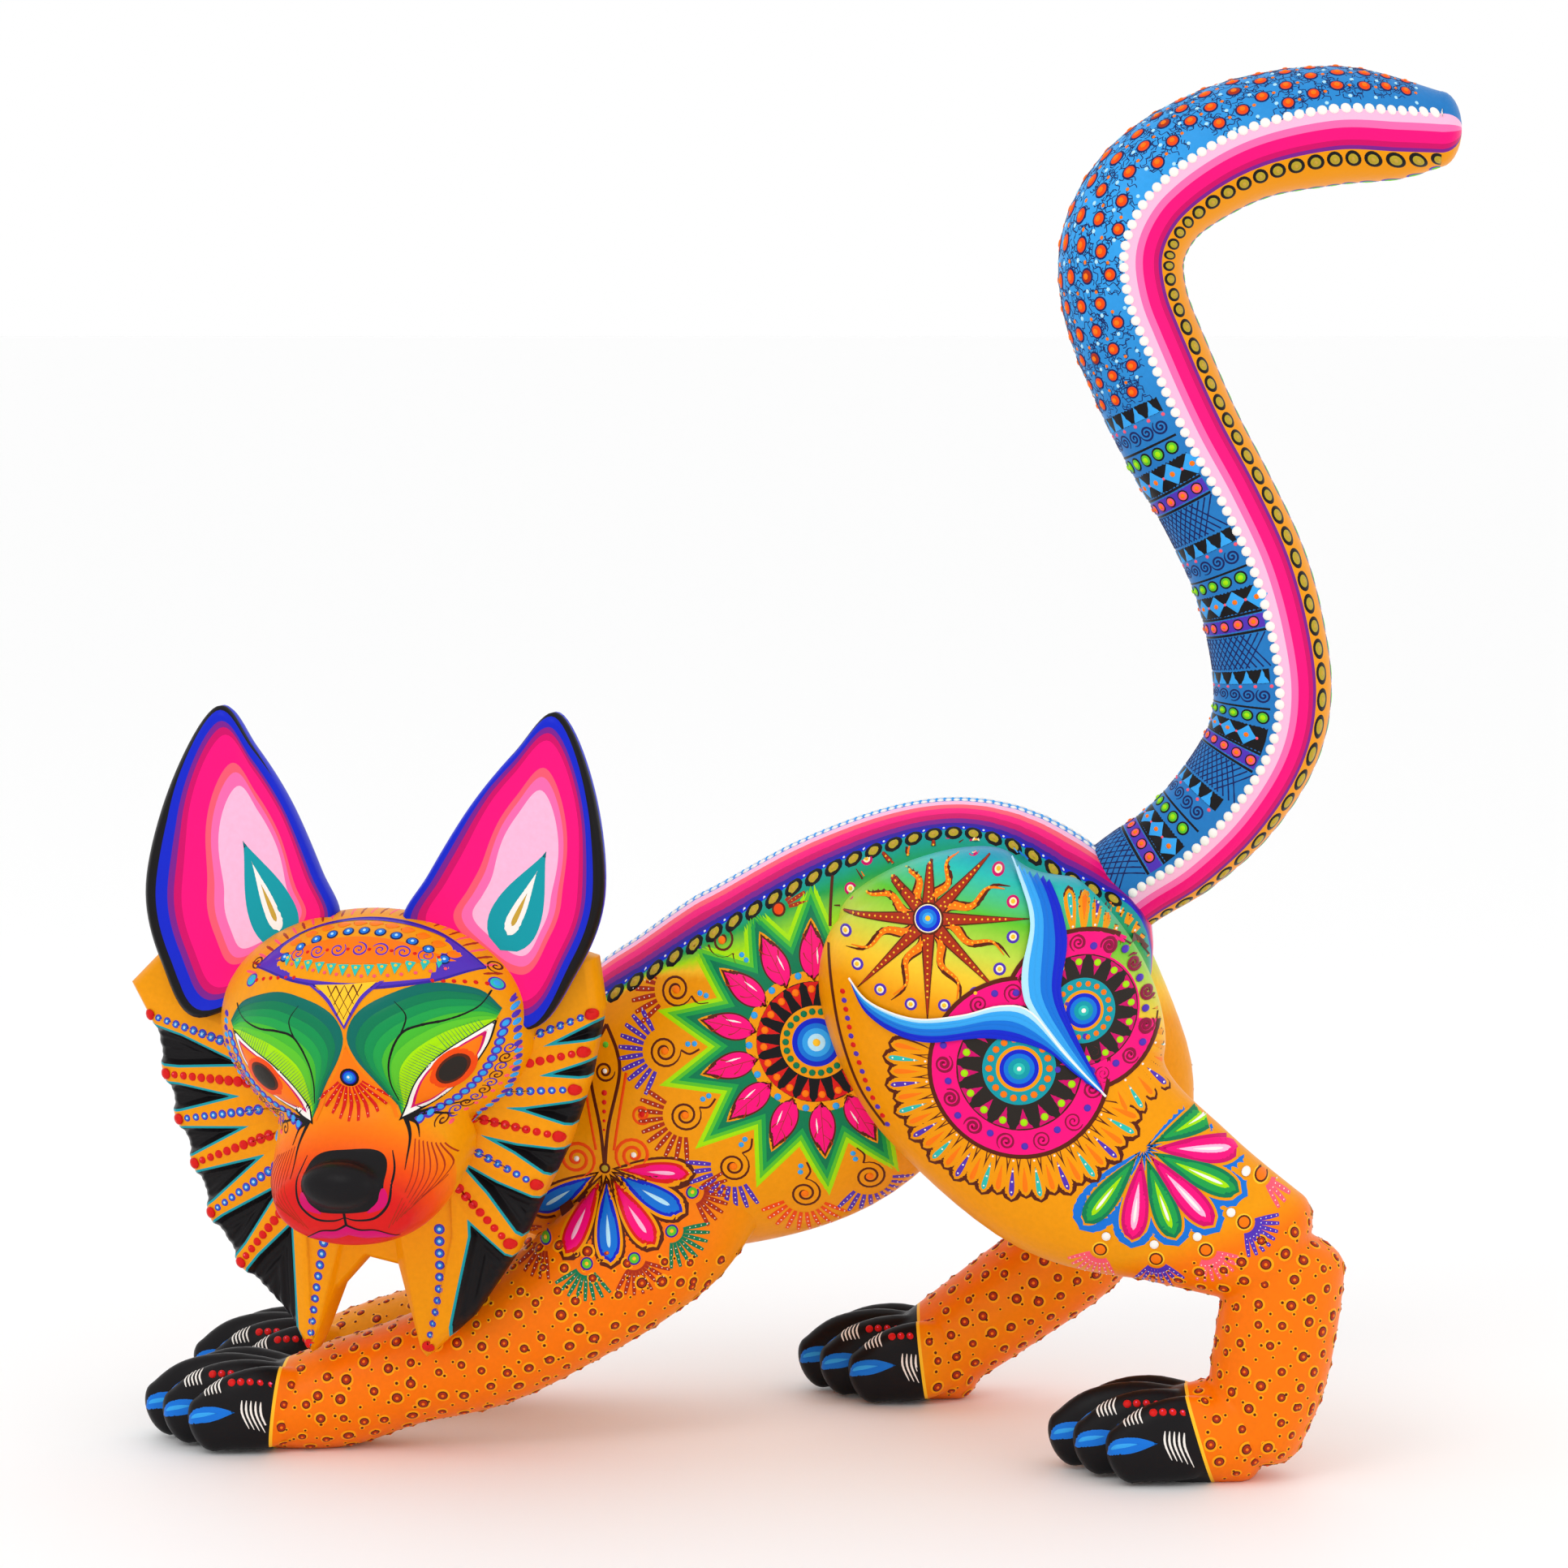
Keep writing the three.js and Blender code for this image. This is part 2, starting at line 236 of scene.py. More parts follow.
def unit(v):
    """Vectors scaled to a length of 1."""
    v = np.asarray(v, float)
    return v / np.maximum(np.linalg.norm(v, axis=-1, keepdims=True), 1e-9)


def directions(run, across):
    """Forward, side and up at each station of a run."""
    centre = run[:, :3]
    ahead = np.vstack([centre[1:], centre[-1:]]) - np.vstack([centre[:1], centre[:-1]])
    forward = unit(ahead)
    side = unit(np.asarray(across, float) - forward * (forward @ np.asarray(across, float))[:, None])
    return forward, side, np.cross(forward, side)


def limb(stations, caps=(9, 9), steps=8, sides=56, across=(0, 1, 0)):
    """Rings of a limb through stations [x, y, z, half height, half width], with rounded ends."""
    run = smooth(stations, steps)
    forward, side, up = directions(run, across)
    angle = np.arange(sides) * TAU / sides

    def ring(i, push=0.0, scale=1.0):
        height = np.sin(angle)[:, None] * up[i] * run[i, 3] * scale
        width = np.cos(angle)[:, None] * side[i] * run[i, 4] * scale
        return run[i, :3] + forward[i] * push + height + width

    bulge = np.sin(np.linspace(0.06, 1, 8)[::-1] * math.pi / 2)
    first = [ring(0, -caps[0] * t, math.sqrt(max(1 - t * t, 4e-4))) for t in bulge]
    last = [ring(-1, caps[1] * t, math.sqrt(max(1 - t * t, 4e-4))) for t in bulge[::-1]]
    return np.array([*first, *[ring(i) for i in range(len(run))], *last])


def skin(rings):
    """Vertices and faces of rings joined up and closed at both ends."""
    rows, sides = rings.shape[:2]
    points = np.vstack([rings.reshape(-1, 3), rings[0].mean(axis=0), rings[-1].mean(axis=0)])
    row, k = np.meshgrid(np.arange(rows - 1) * sides, np.arange(sides), indexing="ij")
    after = (k + 1) % sides
    quads = np.stack([row + k, row + after, row + after + sides, row + k + sides], axis=-1)
    faces = quads.reshape(-1, 4).tolist()
    start, top = rows * sides, (rows - 1) * sides
    faces += [[start, (i + 1) % sides, i] for i in range(sides)]
    faces += [[start + 1, top + i, top + (i + 1) % sides] for i in range(sides)]
    return points, faces


def ball(centre, radii, turn=np.eye(3), origin=(0, 0, 0)):
    """A ball with three radii, placed in a turned frame."""
    polar = np.linspace(0.03, math.pi - 0.03, 28)
    ring = circle(48)
    wide = np.sin(polar)[:, None, None] * ring[None]
    tall = np.broadcast_to(-np.cos(polar)[:, None], wide.shape[:2])
    points = np.concatenate([wide, tall[..., None]], axis=-1) * np.asarray(radii) + np.asarray(centre)
    return points @ turn.T + np.asarray(origin)


def plain_mesh(points, faces, name="scratch"):
    """A mesh of bare points and faces."""
    mesh = bpy.data.meshes.new(name)
    mesh.from_pydata(np.asarray(points).tolist(), [], faces)
    return mesh


def evaluated(thing):
    """The points and faces of an object with its modifiers, after which the object is gone."""
    graph = bpy.context.evaluated_depsgraph_get()
    mesh = thing.evaluated_get(graph).to_mesh()
    points = np.empty(len(mesh.vertices) * 3)
    mesh.vertices.foreach_get("co", points)
    faces = [list(polygon.vertices) for polygon in mesh.polygons]
    bpy.data.objects.remove(thing)
    return points.reshape(-1, 3), faces


def fused(rings_list, voxel, rounds):
    """Limbs and balls grown together into one smooth carved form."""
    points, faces, count = [], [], 0
    for rings in rings_list:
        more, quads = skin(rings)
        points.append(more)
        faces += [[i + count for i in quad] for quad in quads]
        count += len(more)
    thing = bpy.data.objects.new("scratch", plain_mesh(np.vstack(points), faces))
    bpy.context.scene.collection.objects.link(thing)
    remesh = thing.modifiers.new("remesh", "REMESH")
    remesh.mode = "VOXEL"
    remesh.voxel_size = voxel
    soften = thing.modifiers.new("soften", "SMOOTH")
    soften.iterations = rounds
    return evaluated(thing)


def normals_of(points, faces):
    """The outward direction at each point."""
    quads = np.array([face if len(face) == 4 else [*face, face[-1]] for face in faces])
    across = points[quads[:, 2]] - points[quads[:, 0]]
    along = points[quads[:, 3]] - points[quads[:, 1]]
    normal = np.cross(across, along)
    total = np.zeros_like(points)
    for i in range(4):
        np.add.at(total, quads[:, i], normal)
    return unit(total)


# ---------------------------------------------------------------- Pieces


def piece(name, points, faces, body, slot, materials, replaces=(), **attributes):
    """A carved piece as an object: its mesh, its paint attributes and its body. The slot is not used."""
    mesh = plain_mesh((np.asarray(points) - MIDDLE) * MM, faces, name)
    mesh.shade_smooth()
    for key, values in attributes.items():
        if key == "face_materials":
            mesh.polygons.foreach_set("material_index", values)
        elif np.ndim(values) == 2:
            layer = mesh.attributes.new(key, "FLOAT_COLOR", "POINT")
            rgba = np.concatenate([values, np.ones((len(values), 1))], axis=1)
            layer.data.foreach_set("color", rgba.ravel())
        else:
            mesh.attributes.new(key, "FLOAT", "POINT").data.foreach_set("value", values)
    for material in materials:
        mesh.materials.append(material)
    thing = bpy.data.objects.new(name, mesh)
    bpy.context.scene.collection.objects.link(thing)
    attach(thing, body)
    if replaces:
        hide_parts(*replaces)
    return thing


class Surface:
    """A carved form that paint is laid on."""

    def __init__(self, points, faces):
        self.points, self.faces = np.asarray(points), faces
        self.normals = normals_of(self.points, faces)
        self.tree = BVHTree.FromPolygons(self.points.tolist(), faces)

    def land(self, starts, ways, reach):
        """Where rays from the starts land: points, outward directions, and which ones landed."""
        spots = np.zeros_like(starts)
        out = np.zeros_like(starts)
        landed = np.zeros(len(starts), bool)
        for i, (start, way) in enumerate(zip(starts.tolist(), ways.tolist())):
            spot, normal, _, _ = self.tree.ray_cast(start, way, reach)
            if spot is not None:
                spots[i], out[i], landed[i] = spot, normal, True
        flip = np.sum(out * ways, axis=1) > 0
        out[flip] *= -1
        return spots, out, landed


def together(*surfaces):
    """Several carved forms as one surface to paint on."""
    points, faces, count = [], [], 0
    for surface in surfaces:
        points.append(surface.points)
        faces += [[i + count for i in face] for face in surface.faces]
        count += len(surface.points)
    return Surface(np.vstack(points), faces)


# ---------------------------------------------------------------- The painter's marks

LAYER = 0.07  # how much each coat of paint adds
DIP = 0.07  # how far a mark's edge dips under its ground
GRAZING = 0.2  # no mark where a chart meets the form flatter than this


class Paint:
    """Thin raised marks, drawn in a chart's two coordinates and laid on a carved form."""

    def __init__(self, surface, chart, reach=260.0, allowed=None):
        self.surface, self.chart, self.reach = surface, chart, reach
        self.allowed = allowed  # a test of the points on the form that may be painted
        self.marks = []

    def sheet(self, paint, spots, rise, level=0, wrap=False, hub=False):
        """A grid of spots (rows, columns, 2) with a rise for each column. wrap closes the rows."""
        rise = np.broadcast_to(np.asarray(rise, float), spots.shape[:2])
        self.marks.append((paint, spots, rise + level * LAYER, wrap, hub))

    def stroke(self, paint, path, width, level=0, closed=False, thick=LAYER, across=3):
        """A brush stroke along a path of spots, with one half width or one for each spot."""
        path = np.asarray(path, float)
        if closed:
            along = np.roll(path, -1, axis=0) - np.roll(path, 1, axis=0)
        else:
            along = np.gradient(path, axis=0)
        along = unit(along)
        aside = np.stack([-along[:, 1], along[:, 0]], axis=-1)
        half = np.broadcast_to(np.asarray(width, float), len(path))[:, None]
        places = np.linspace(-1, 1, across)
        spots = np.stack([path + aside * half * place for place in places], axis=1)
        rise = thick * (1 - places**4)
        rise[[0, -1]] = -DIP
        self.sheet(paint, spots, rise, level, wrap=closed)

    def disc(self, paint, centre, radius, level=0, thick=LAYER, inner=0.0, sides=0):
        """A disc or ring with soft edges."""
        sides = sides or int(np.clip(radius * 6, 12, 64))
        ring = circle(sides)
        if inner:
            soft = 0.2 * (radius - inner)
            places = np.array([inner, inner + soft, radius - soft, radius])
            rise = np.array([-DIP, thick, thick, -DIP])
        else:
            rows = max(3, int(radius / 1.5) + 2)
            places = np.concatenate([[0.0], np.linspace(0, radius * 0.9, rows)[1:], [radius]])
            rise = np.append(np.full(rows, thick), -DIP)
        spots = np.asarray(centre)[None, None] + ring[:, None] * places[None, :, None]
        self.sheet(paint, spots, rise, level, wrap=True, hub=not inner)

    def dot(self, paint, centre, radius, level=0, height=0.45):
        """A raised drop of paint."""
        sides = 12 if radius > 0.9 else 8
        ring = circle(sides)
        places = np.array([0, 0.45, 0.8, 0.97, 1.0]) if radius > 0.9 else np.array([0, 0.6, 1.0])
        rise = radius * height * np.sqrt(np.maximum(1 - places**2, 0))
        rise[-1] = -DIP
        spots = np.asarray(centre)[None, None] + ring[:, None] * (places * radius)[None, :, None]
        self.sheet(paint, spots, rise, level, wrap=True, hub=True)

    def drop(self, paint, foot, tip, width, level=0, fat=0.7, thick=LAYER, notch=1.0):
        """A drop-shaped petal from its pointed foot to its round end. fat is where it is widest."""
        foot, tip = np.asarray(foot, float), np.asarray(tip, float)
        t = np.linspace(0, 1, 18)
        rise_part = np.clip(t / fat, 0, 1) ** notch
        round_part = np.sqrt(np.clip(1 - (np.clip(t - fat, 0, 1) / (1 - fat)) ** 2, 0, 1))
        half = width / 2 * np.sin(rise_part * math.pi / 2) * round_part
        path = foot + (tip - foot) * t[:, None]
        self.stroke(paint, path, half, level, thick=thick, across=5)

    def leaf(self, paint, foot, tip, width, level=0, thick=LAYER):
        """A petal pointed at both ends."""
        foot, tip = np.asarray(foot, float), np.asarray(tip, float)
        t = np.linspace(0, 1, 16)
        half = width / 2 * np.sin(math.pi * t**0.8) ** 0.85
        self.stroke(paint, foot + (tip - foot) * t[:, None], half, level, thick=thick, across=5)

    def spike(self, paint, foot, tip, width, level=0, thick=LAYER):
        """A straight-sided triangle from its base to its point."""
        foot, tip = np.asarray(foot, float), np.asarray(tip, float)
        t = np.linspace(0, 1, max(4, int(np.linalg.norm(tip - foot) / 1.5) + 2))
        half = width / 2 * (1.001 - t)
        self.stroke(paint, foot + (tip - foot) * t[:, None], half, level, thick=thick, across=5)

    def ribbon(self, paints, inner, outer, level=0, thick=LAYER):
        """Bands side by side between two paths of the same length."""
        inner, outer = np.asarray(inner, float), np.asarray(outer, float)
        edges = np.linspace(0, 1, len(paints) + 1)
        for k, paint in enumerate(paints):
            low, high = edges[k], edges[k + 1] + (0.02 if k < len(paints) - 1 else 0)
            places = low + (high - low) * np.array([0, 0.06, 0.5, 0.94, 1])
            spots = inner[:, None] + (outer - inner)[:, None] * places[None, :, None]
            self.sheet(paint, spots, [-DIP, thick, thick, thick, -DIP], level)

    def target(self, centre, rings, level=0):
        """Discs on discs, from the widest: (radius, paint)."""
        for k, (radius, paint) in enumerate(rings):
            self.disc(paint, centre, radius, level + k, sides=max(16, min(64, int(radius * 7))))

    def spiral(self, paint, centre, radius, turns, width, level=0, start=0.0, way=1):
        t = np.linspace(0.06, 1, int(18 * turns))
        angle = start + way * TAU * turns * t
        path = np.asarray(centre) + (radius * t)[:, None] * np.stack([np.cos(angle), np.sin(angle)], -1)
        self.stroke(paint, path, width * np.interp(t, [0, 0.1, 0.9, 1], [0.5, 1, 1, 0.4]), level)

    def comb(self, paint, centre, near, far, start, end, count, width, level=0, beads=None):
        """A fan of tapered brush strokes round a centre, with a row of beads on each."""
        for angle in np.linspace(start, end, count):
            way = heading(angle)
            t = np.linspace(0, 1, 6)
            path = np.asarray(centre) + way * (near + (far - near) * t)[:, None]
            self.stroke(paint, path, width * (0.5 + 0.5 * np.sin(math.pi * (0.15 + 0.7 * t))), level)
            if beads:
                for place in np.linspace(0.25, 0.9, 4):
                    spot = np.asarray(centre) + way * (near + (far - near) * place)
                    self.dot(beads, spot, width * 0.3, level + 1)

    def star(self, paint, centre, valley, tip, count, level=0, start=0.0, inner=0.0, thick=LAYER):
        """A zigzag star with straight edges, or the ring of it outside a radius."""
        per = 10
        k = np.arange(count * 2 * per)
        share = (k % per) / per
        corner = (k // per) % 2
        angles = start + (k // per + share) * TAU / (2 * count)
        a = np.where(corner == 0, tip, valley)
        b = np.where(corner == 0, valley, tip)
        step = TAU / (2 * count)
        radius = a * b * math.sin(step) / (a * np.sin(share * step) + b * np.sin((1 - share) * step))
        ring = np.stack([np.cos(angles), np.sin(angles)], axis=-1)
        columns = int((tip - inner) / 2) + 3
        reach = inner + (radius - inner)[:, None] * np.linspace(0, 1, columns)
        spots = np.asarray(centre) + ring[:, None] * reach[..., None]
        rise = np.full(columns, thick)
        rise[-1] = -DIP
        if inner:
            rise[0] = -DIP
        self.sheet(paint, spots, rise, level, wrap=True, hub=not inner)

    def make(self, name, body, slot):
        """Lays every mark on the surface and makes one object of them."""
        spots = np.vstack([mark[1].reshape(-1, 2) for mark in self.marks])
        starts, ways = self.chart(spots)
        where, out, landed = self.surface.land(starts, ways, self.reach)
        landed &= np.abs(np.sum(out * ways, axis=1)) > GRAZING
        if self.allowed:
            landed &= self.allowed(where)
        points, faces, slots, order = [], [], [], []
        first = count = 0
        for paint, grid, rise, wrap, hub in self.marks:
            rows, columns = grid.shape[:2]
            size = rows * columns
            own = slice(first, first + size)
            first += size
            points.append(where[own] + out[own] * rise.reshape(-1, 1))
            good = landed[own].reshape(rows, columns)
            i, j = np.meshgrid(np.arange(rows if wrap else rows - 1), np.arange(columns - 1), indexing="ij")
            after = (i + 1) % rows
            kept = good[i, j] & good[i, j + 1] & good[after, j] & good[after, j + 1]
            quads = np.stack(
                [i * columns + j, i * columns + j + 1, after * columns + j + 1, after * columns + j], axis=-1
            )
            if hub:
                quads[:, 0, 0] = 0
                quads[:, 0, 3] = 0
            quads = quads[kept] + count
            count += size
            if paint not in order:
                order.append(paint)
            for quad in quads.tolist():
                faces.append(quad if quad[0] != quad[3] else quad[:3])
            slots += [order.index(paint)] * len(quads)
        points = np.vstack(points)
        faces, slots = outward(points, faces, slots, out)
        used = np.unique(np.concatenate([np.asarray(face) for face in faces]))
        renumber = np.full(len(points), -1)
        renumber[used] = np.arange(len(used))
        faces = [[int(renumber[i]) for i in face] for face in faces]
        materials = [acrylic(paint) for paint in order]
        return piece(name, points[used], faces, body, slot, materials, face_materials=slots)


def around(centre, radius, count, start=0.0, end=None):
    """Spots spaced evenly round a centre, each with its angle."""
    end = start + TAU * (count - 1) / count if end is None else end
    for angle in np.linspace(start, end, count):
        way = heading(angle)
        yield np.asarray(centre) + radius * way, way


def curve(*corners, steps=10):
    """A smooth open path of spots through corners."""
    return smooth(corners, steps)


def outward(points, faces, slots, out):
    """Faces turned to look away from the surface, without stretched ones and ones with no area."""
    corners = np.array([[face[0], face[1], face[2]] for face in faces])
    edge_a = points[corners[:, 1]] - points[corners[:, 0]]
    edge_b = points[corners[:, 2]] - points[corners[:, 0]]
    normal = np.cross(edge_a, edge_b)
    area = np.linalg.norm(normal, axis=1)
    facing = np.sum(normal * out[corners[:, 1]], axis=1) >= 0
    kept = (area > 1e-7) & (np.linalg.norm(edge_a, axis=1) < 8) & (np.linalg.norm(edge_b, axis=1) < 8)
    turned = [face if ok else face[::-1] for face, ok in zip(faces, facing)]
    faces = [face for face, keep in zip(turned, kept) if keep]
    slots = [slot for slot, keep in zip(slots, kept) if keep]
    return faces, slots


def from_side(side):
    """A chart in [x, z] seen from one flank: side is -1 for the left one, 1 for the right."""

    def chart(spots):
        starts = np.stack([spots[:, 0], np.full(len(spots), side * 200.0), spots[:, 1]], axis=-1)
        return starts, np.broadcast_to([0.0, -side, 0.0], starts.shape)

    return chart


def sprinkled(surface, count, apart, where):
    """Points scattered over a form, at least so far apart, where a test of them holds."""
    order = rng.permutation(len(surface.points))
    order = order[where(surface.points[order])]
    taken, grid = [], {}
    for i in order:
        p = surface.points[i]
        cell = tuple((p // apart).astype(int))
        near = [grid.get((cell[0] + a, cell[1] + b, cell[2] + c)) for a in (-1, 0, 1) for b in (-1, 0, 1)
                for c in (-1, 0, 1)]
        if all(j is None or np.linalg.norm(surface.points[j] - p) >= apart for j in near):
            grid[cell] = i
            taken.append(i)
        if len(taken) == count:
            break
    return surface.points[taken], surface.normals[taken]


def beads(name, spots, ways, layers, body, slot, scale=None):
    """The same small round mark at many places: layers of (radius, paint, level, height)."""
    side = unit(np.cross(ways, [0.31, 0.17, 0.93]))
    up = np.cross(ways, side)
    scale = np.ones(len(spots)) if scale is None else scale
    points, faces, slots, order = [], [], [], []
    count = 0
    for radius, paint, level, height in layers:
        sides = 14 if radius > 0.8 else 8
        angle = np.arange(sides) * TAU / sides
        places = np.array([0.55, 0.9, 1.0])
        rise = height * np.sqrt(1 - places**2 * 0.96) + level * LAYER
        rise[-1] = -DIP
        order.append(paint)
        for spot, way, a, b, size in zip(spots, ways, side, up, scale):
            r = radius * size
            ring = np.cos(angle)[:, None] * a + np.sin(angle)[:, None] * b
            grid = spot + ring[:, None] * (places * r)[None, :, None] + way * rise[None, :, None]
            top = spot + way * (height + level * LAYER)
            points.append(np.vstack([grid.reshape(-1, 3), top]))
            for i in range(sides):
                j = (i + 1) % sides
                faces.append([count + 3 * sides, count + 3 * i, count + 3 * j])
                faces.append([count + 3 * i, count + 3 * i + 1, count + 3 * j + 1, count + 3 * j])
                faces.append([count + 3 * i + 1, count + 3 * i + 2, count + 3 * j + 2, count + 3 * j + 1])
            slots += [len(order) - 1] * (3 * sides)
            count += 3 * sides + 1
    points = np.vstack(points)
    return piece(name, points, faces, body, slot, [acrylic(p) for p in order], face_materials=slots)


def turned(degrees, axis):
    """A rotation about the x or the z axis."""
    c, s = math.cos(math.radians(degrees)), math.sin(math.radians(degrees))
    if axis == "x":
        return np.array([[1, 0, 0], [0, c, -s], [0, s, c]])
    return np.array([[c, -s, 0], [s, c, 0], [0, 0, 1]])


HEAD_PLACE = np.array([-110, -52, 116.0])
MANE_TURN = turned(-10, "z")  # the mane looks a little to its right
HEAD_TURN = MANE_TURN @ turned(14, "x")  # and the head is bowed


def to_mane(points):
    """Figure points seen in the mane's frame: x across, y backwards, z up."""
    return (np.asarray(points) - HEAD_PLACE) @ MANE_TURN


def facing(turn, depth=150.0):
    """A chart in [across, up] of the mane's or the head's frame, seen from the front."""

    def chart(spots):
        local = np.stack([spots[:, 0], np.full(len(spots), -depth), spots[:, 1]], axis=-1)
        starts = local @ turn.T + HEAD_PLACE
        return starts, np.broadcast_to(turn @ np.array([0.0, 1.0, 0.0]), starts.shape)

    return chart


def behind(turn, depth=150.0):
    """The chart of facing, seen from the back."""

    def chart(spots):
        local = np.stack([spots[:, 0], np.full(len(spots), depth), spots[:, 1]], axis=-1)
        starts = local @ turn.T + HEAD_PLACE
        return starts, np.broadcast_to(turn @ np.array([0.0, -1.0, 0.0]), starts.shape)

    return chart


# ---------------------------------------------------------------- Torso

TRUNK = [
    [-88, -6, 100, 33, 27],
    [-62, 0, 91, 38, 32],
    [-34, 0, 97, 46, 35],
    [-4, 0, 110, 51, 36],
    [24, 0, 129, 47.5, 35],
    [50, 0, 134, 48.5, 36],
    [76, 0, 125.5, 41, 33],
]
NECK = [[-72, -2, 96, 28, 26], [-92, -10, 104, 28, 26], [-104, -28, 110, 26, 26], [-107, -52, 112, 25, 25]]
MANE_BACK = 12.3  # where the neck stops, in the mane's frame


def below_ridge(points):
    """How far down the flank a point is from the top of the back, in mm along the skin."""
    run = smooth(TRUNK, 16)
    near = np.abs(points[:, None, 0] - run[None, :, 0]).argmin(axis=1)
    tall, wide = run[near, 3], run[near, 4]
    angle = np.arctan2(np.abs(points[:, 1] - run[near, 1]) / wide, (points[:, 2] - run[near, 2]) / tall)
    t = np.linspace(0, 1, 40)[:, None] * angle
    step = np.hypot(wide * np.cos(t), tall * np.sin(t)) * angle / 40
    return step.sum(axis=0)


SPINE_BANDS = [
    (-1.0, "sky"),
    (2.2, "azure"),
    (4.4, "pale_pink"),
    (7.4, "coral"),
    (10.0, "hot_pink"),
    (13.0, "magenta"),
    (15.5, "purple"),
    (17.5, "indigo"),
    (18.8, "royal"),
    (20.2, None),
]


def make_torso():
    """The trunk and neck in their blended ground colours, flat where the mane lies on them."""
    points, faces = fused([limb(TRUNK, (14, 22), 8, 72), limb(NECK, (4, 4), 8, 56, (1, 0, 0))], 1.25, 4)
    local = to_mane(points)
    beyond = MANE_BACK - local[:, 1]
    ahead = MANE_TURN @ np.array([0.0, 1.0, 0.0])
    points = points + np.outer(np.where(beyond > 0, beyond, 0), ahead)
    ridge = below_ridge(points)
    deep = np.interp(points[:, 0], [-40, -10, 40], [3, 22, 44])
    fade = (ridge - 20) / deep
    wash = blend(fade, (0, "teal"), (0.25, "green"), (0.55, "lime"), (0.8, "yellow"), (1, "marigold"))
    ground = washed("body_wash", border=("ridge", spine_steps()))
    piece("body_skin", points, faces, "figure", "painted_body", [ground], ["torso"], wash=wash, ridge=-ridge)
    return Surface(points, faces)


def spine_steps():
    """The spine's bands as steps of minus the distance from the ridge, outermost first."""
    steps = []
    for (_, paint), (far, _) in zip(SPINE_BANDS[-2::-1], SPINE_BANDS[::-1]):
        steps.append((-far, paint))
    return steps


# ---------------------------------------------------------------- Legs

SOLE = 0.0
ANKLE = 40.0  # paws stay below this
TOE_APART = 9.4
TOE_BACK = (16, 7, 0, 5)  # how far back each toe is set, from the left


def thigh(s):
    """The upper stations of one hind leg, on the side s."""
    return [
        [38, 29 * s, 160, 26, 22],
        [44, 32 * s, 145, 40, 28],
        [61, 33 * s, 118, 44, 30],
        [81, 42 * s, 91, 34.5, 22],
    ]


LEFT_HIND = [
    [*thigh(-1), [109, -48, 76, 24, 17], [134, -49, 64, 17, 16]],
    [[138, -49, 60, 16, 15], [136, -49, 46, 16.5, 15], [133, -49, 28, 16, 15], [129, -49, 13, 14, 15]],
    [[124, -49, 13, 15, 16], [108, -49, 11, 13, 18], [98, -49, 9, 9, 16]],
]
RIGHT_HIND = [
    [*thigh(1), [90, 46, 66, 22, 17]],
    [[90, 46, 60, 17, 16], [78, 46, 44, 16, 15], [56, 46, 27, 15, 15], [38, 46, 14, 14, 15]],
    [[42, 46, 14, 15, 15], [28, 46, 11, 12, 17], [20, 46, 9, 8, 15]],
]


def fore_bones(s, shift):
    """The foreleg's one run from the shoulder to the toes, led out by a shift towards the paw."""
    bones = [
        [-10, 10 * s, 84, 12, 8],
        [-32, 22 * s, 67, 21, 12],
        [-48, 27 * s, 54, 21, 15],
        [-66, 28 * s, 41, 19, 16],
        [-87, 29 * s, 29, 17.5, 16],
        [-110, 29 * s, 21, 15, 15.5],
        [-129, 29 * s, 14.5, 15, 15.5],
        [-146, 29 * s, 11, 12, 17],
        [-160, 29 * s, 9, 8, 14],
    ]
    for bone in bones:
        bone[0] += shift * float(np.clip(-bone[0] / 100, 0, 1))
    return [bones]


def toes(toe_end, y, heel_height):
    """Four toes side by side at the front of a paw, fanned so that each one shows from the left."""
    lobes = []
    for k, back in enumerate(TOE_BACK):
        aside = (k - 1.5) * TOE_APART
        lobes.append([
            [toe_end + back * 0.4 + 44, y + aside * 0.5, heel_height, 9, 5.0],
            [toe_end + back * 0.8 + 28, y + aside * 0.9, 13.5, 11.5, 5.4],
            [toe_end + back + 16, y + aside, 12.0, 11.0, 5.5],
            [toe_end + back + 7, y + aside * 1.02, 8.5, 8.2, 4.8],
        ])
    return lobes


def stand(points):
    """A leg's points with its sole cut flat on the floor."""
    points = points.copy()
    points[:, 2] = np.maximum(points[:, 2], SOLE)
    return points


PAW_LINES = {  # where black paw begins: a point on its edge and the way into the paw, in [x, z]
    "left_fore_leg": ((-144.4, 12), (-1, 0.12)),
    "right_fore_leg": ((-141, 12), (-1, 0.12)),
    "left_hind_leg": ((113.5, 17), (-1, -0.3)),
    "right_hind_leg": ((34.2, 18), (-1, -0.12)),
}


def into_paw(name, points):
    """How far points are past the line where a leg's black paw begins."""
    (x, z), way = PAW_LINES[name]
    way = unit(np.array(way))
    return (points[:, 0] - x) * way[0] + (points[:, 2] - z) * way[1]


DOTTED_TOPS = {  # the upper edge of each leg's dotted part: a point on it in [x, z], and its slope
    "left_fore_leg": ((0, 54), -0.1),
    "right_fore_leg": ((0, 54), -0.1),
    "left_hind_leg": ((105, 59), 0.42),
    "right_hind_leg": ((0, 60), 0),
}


def above_dots(name, points):
    """How far points are above the upper edge of a leg's dotted part."""
    (x, z), slope = DOTTED_TOPS[name]
    return points[:, 2] - z - slope * (points[:, 0] - x)


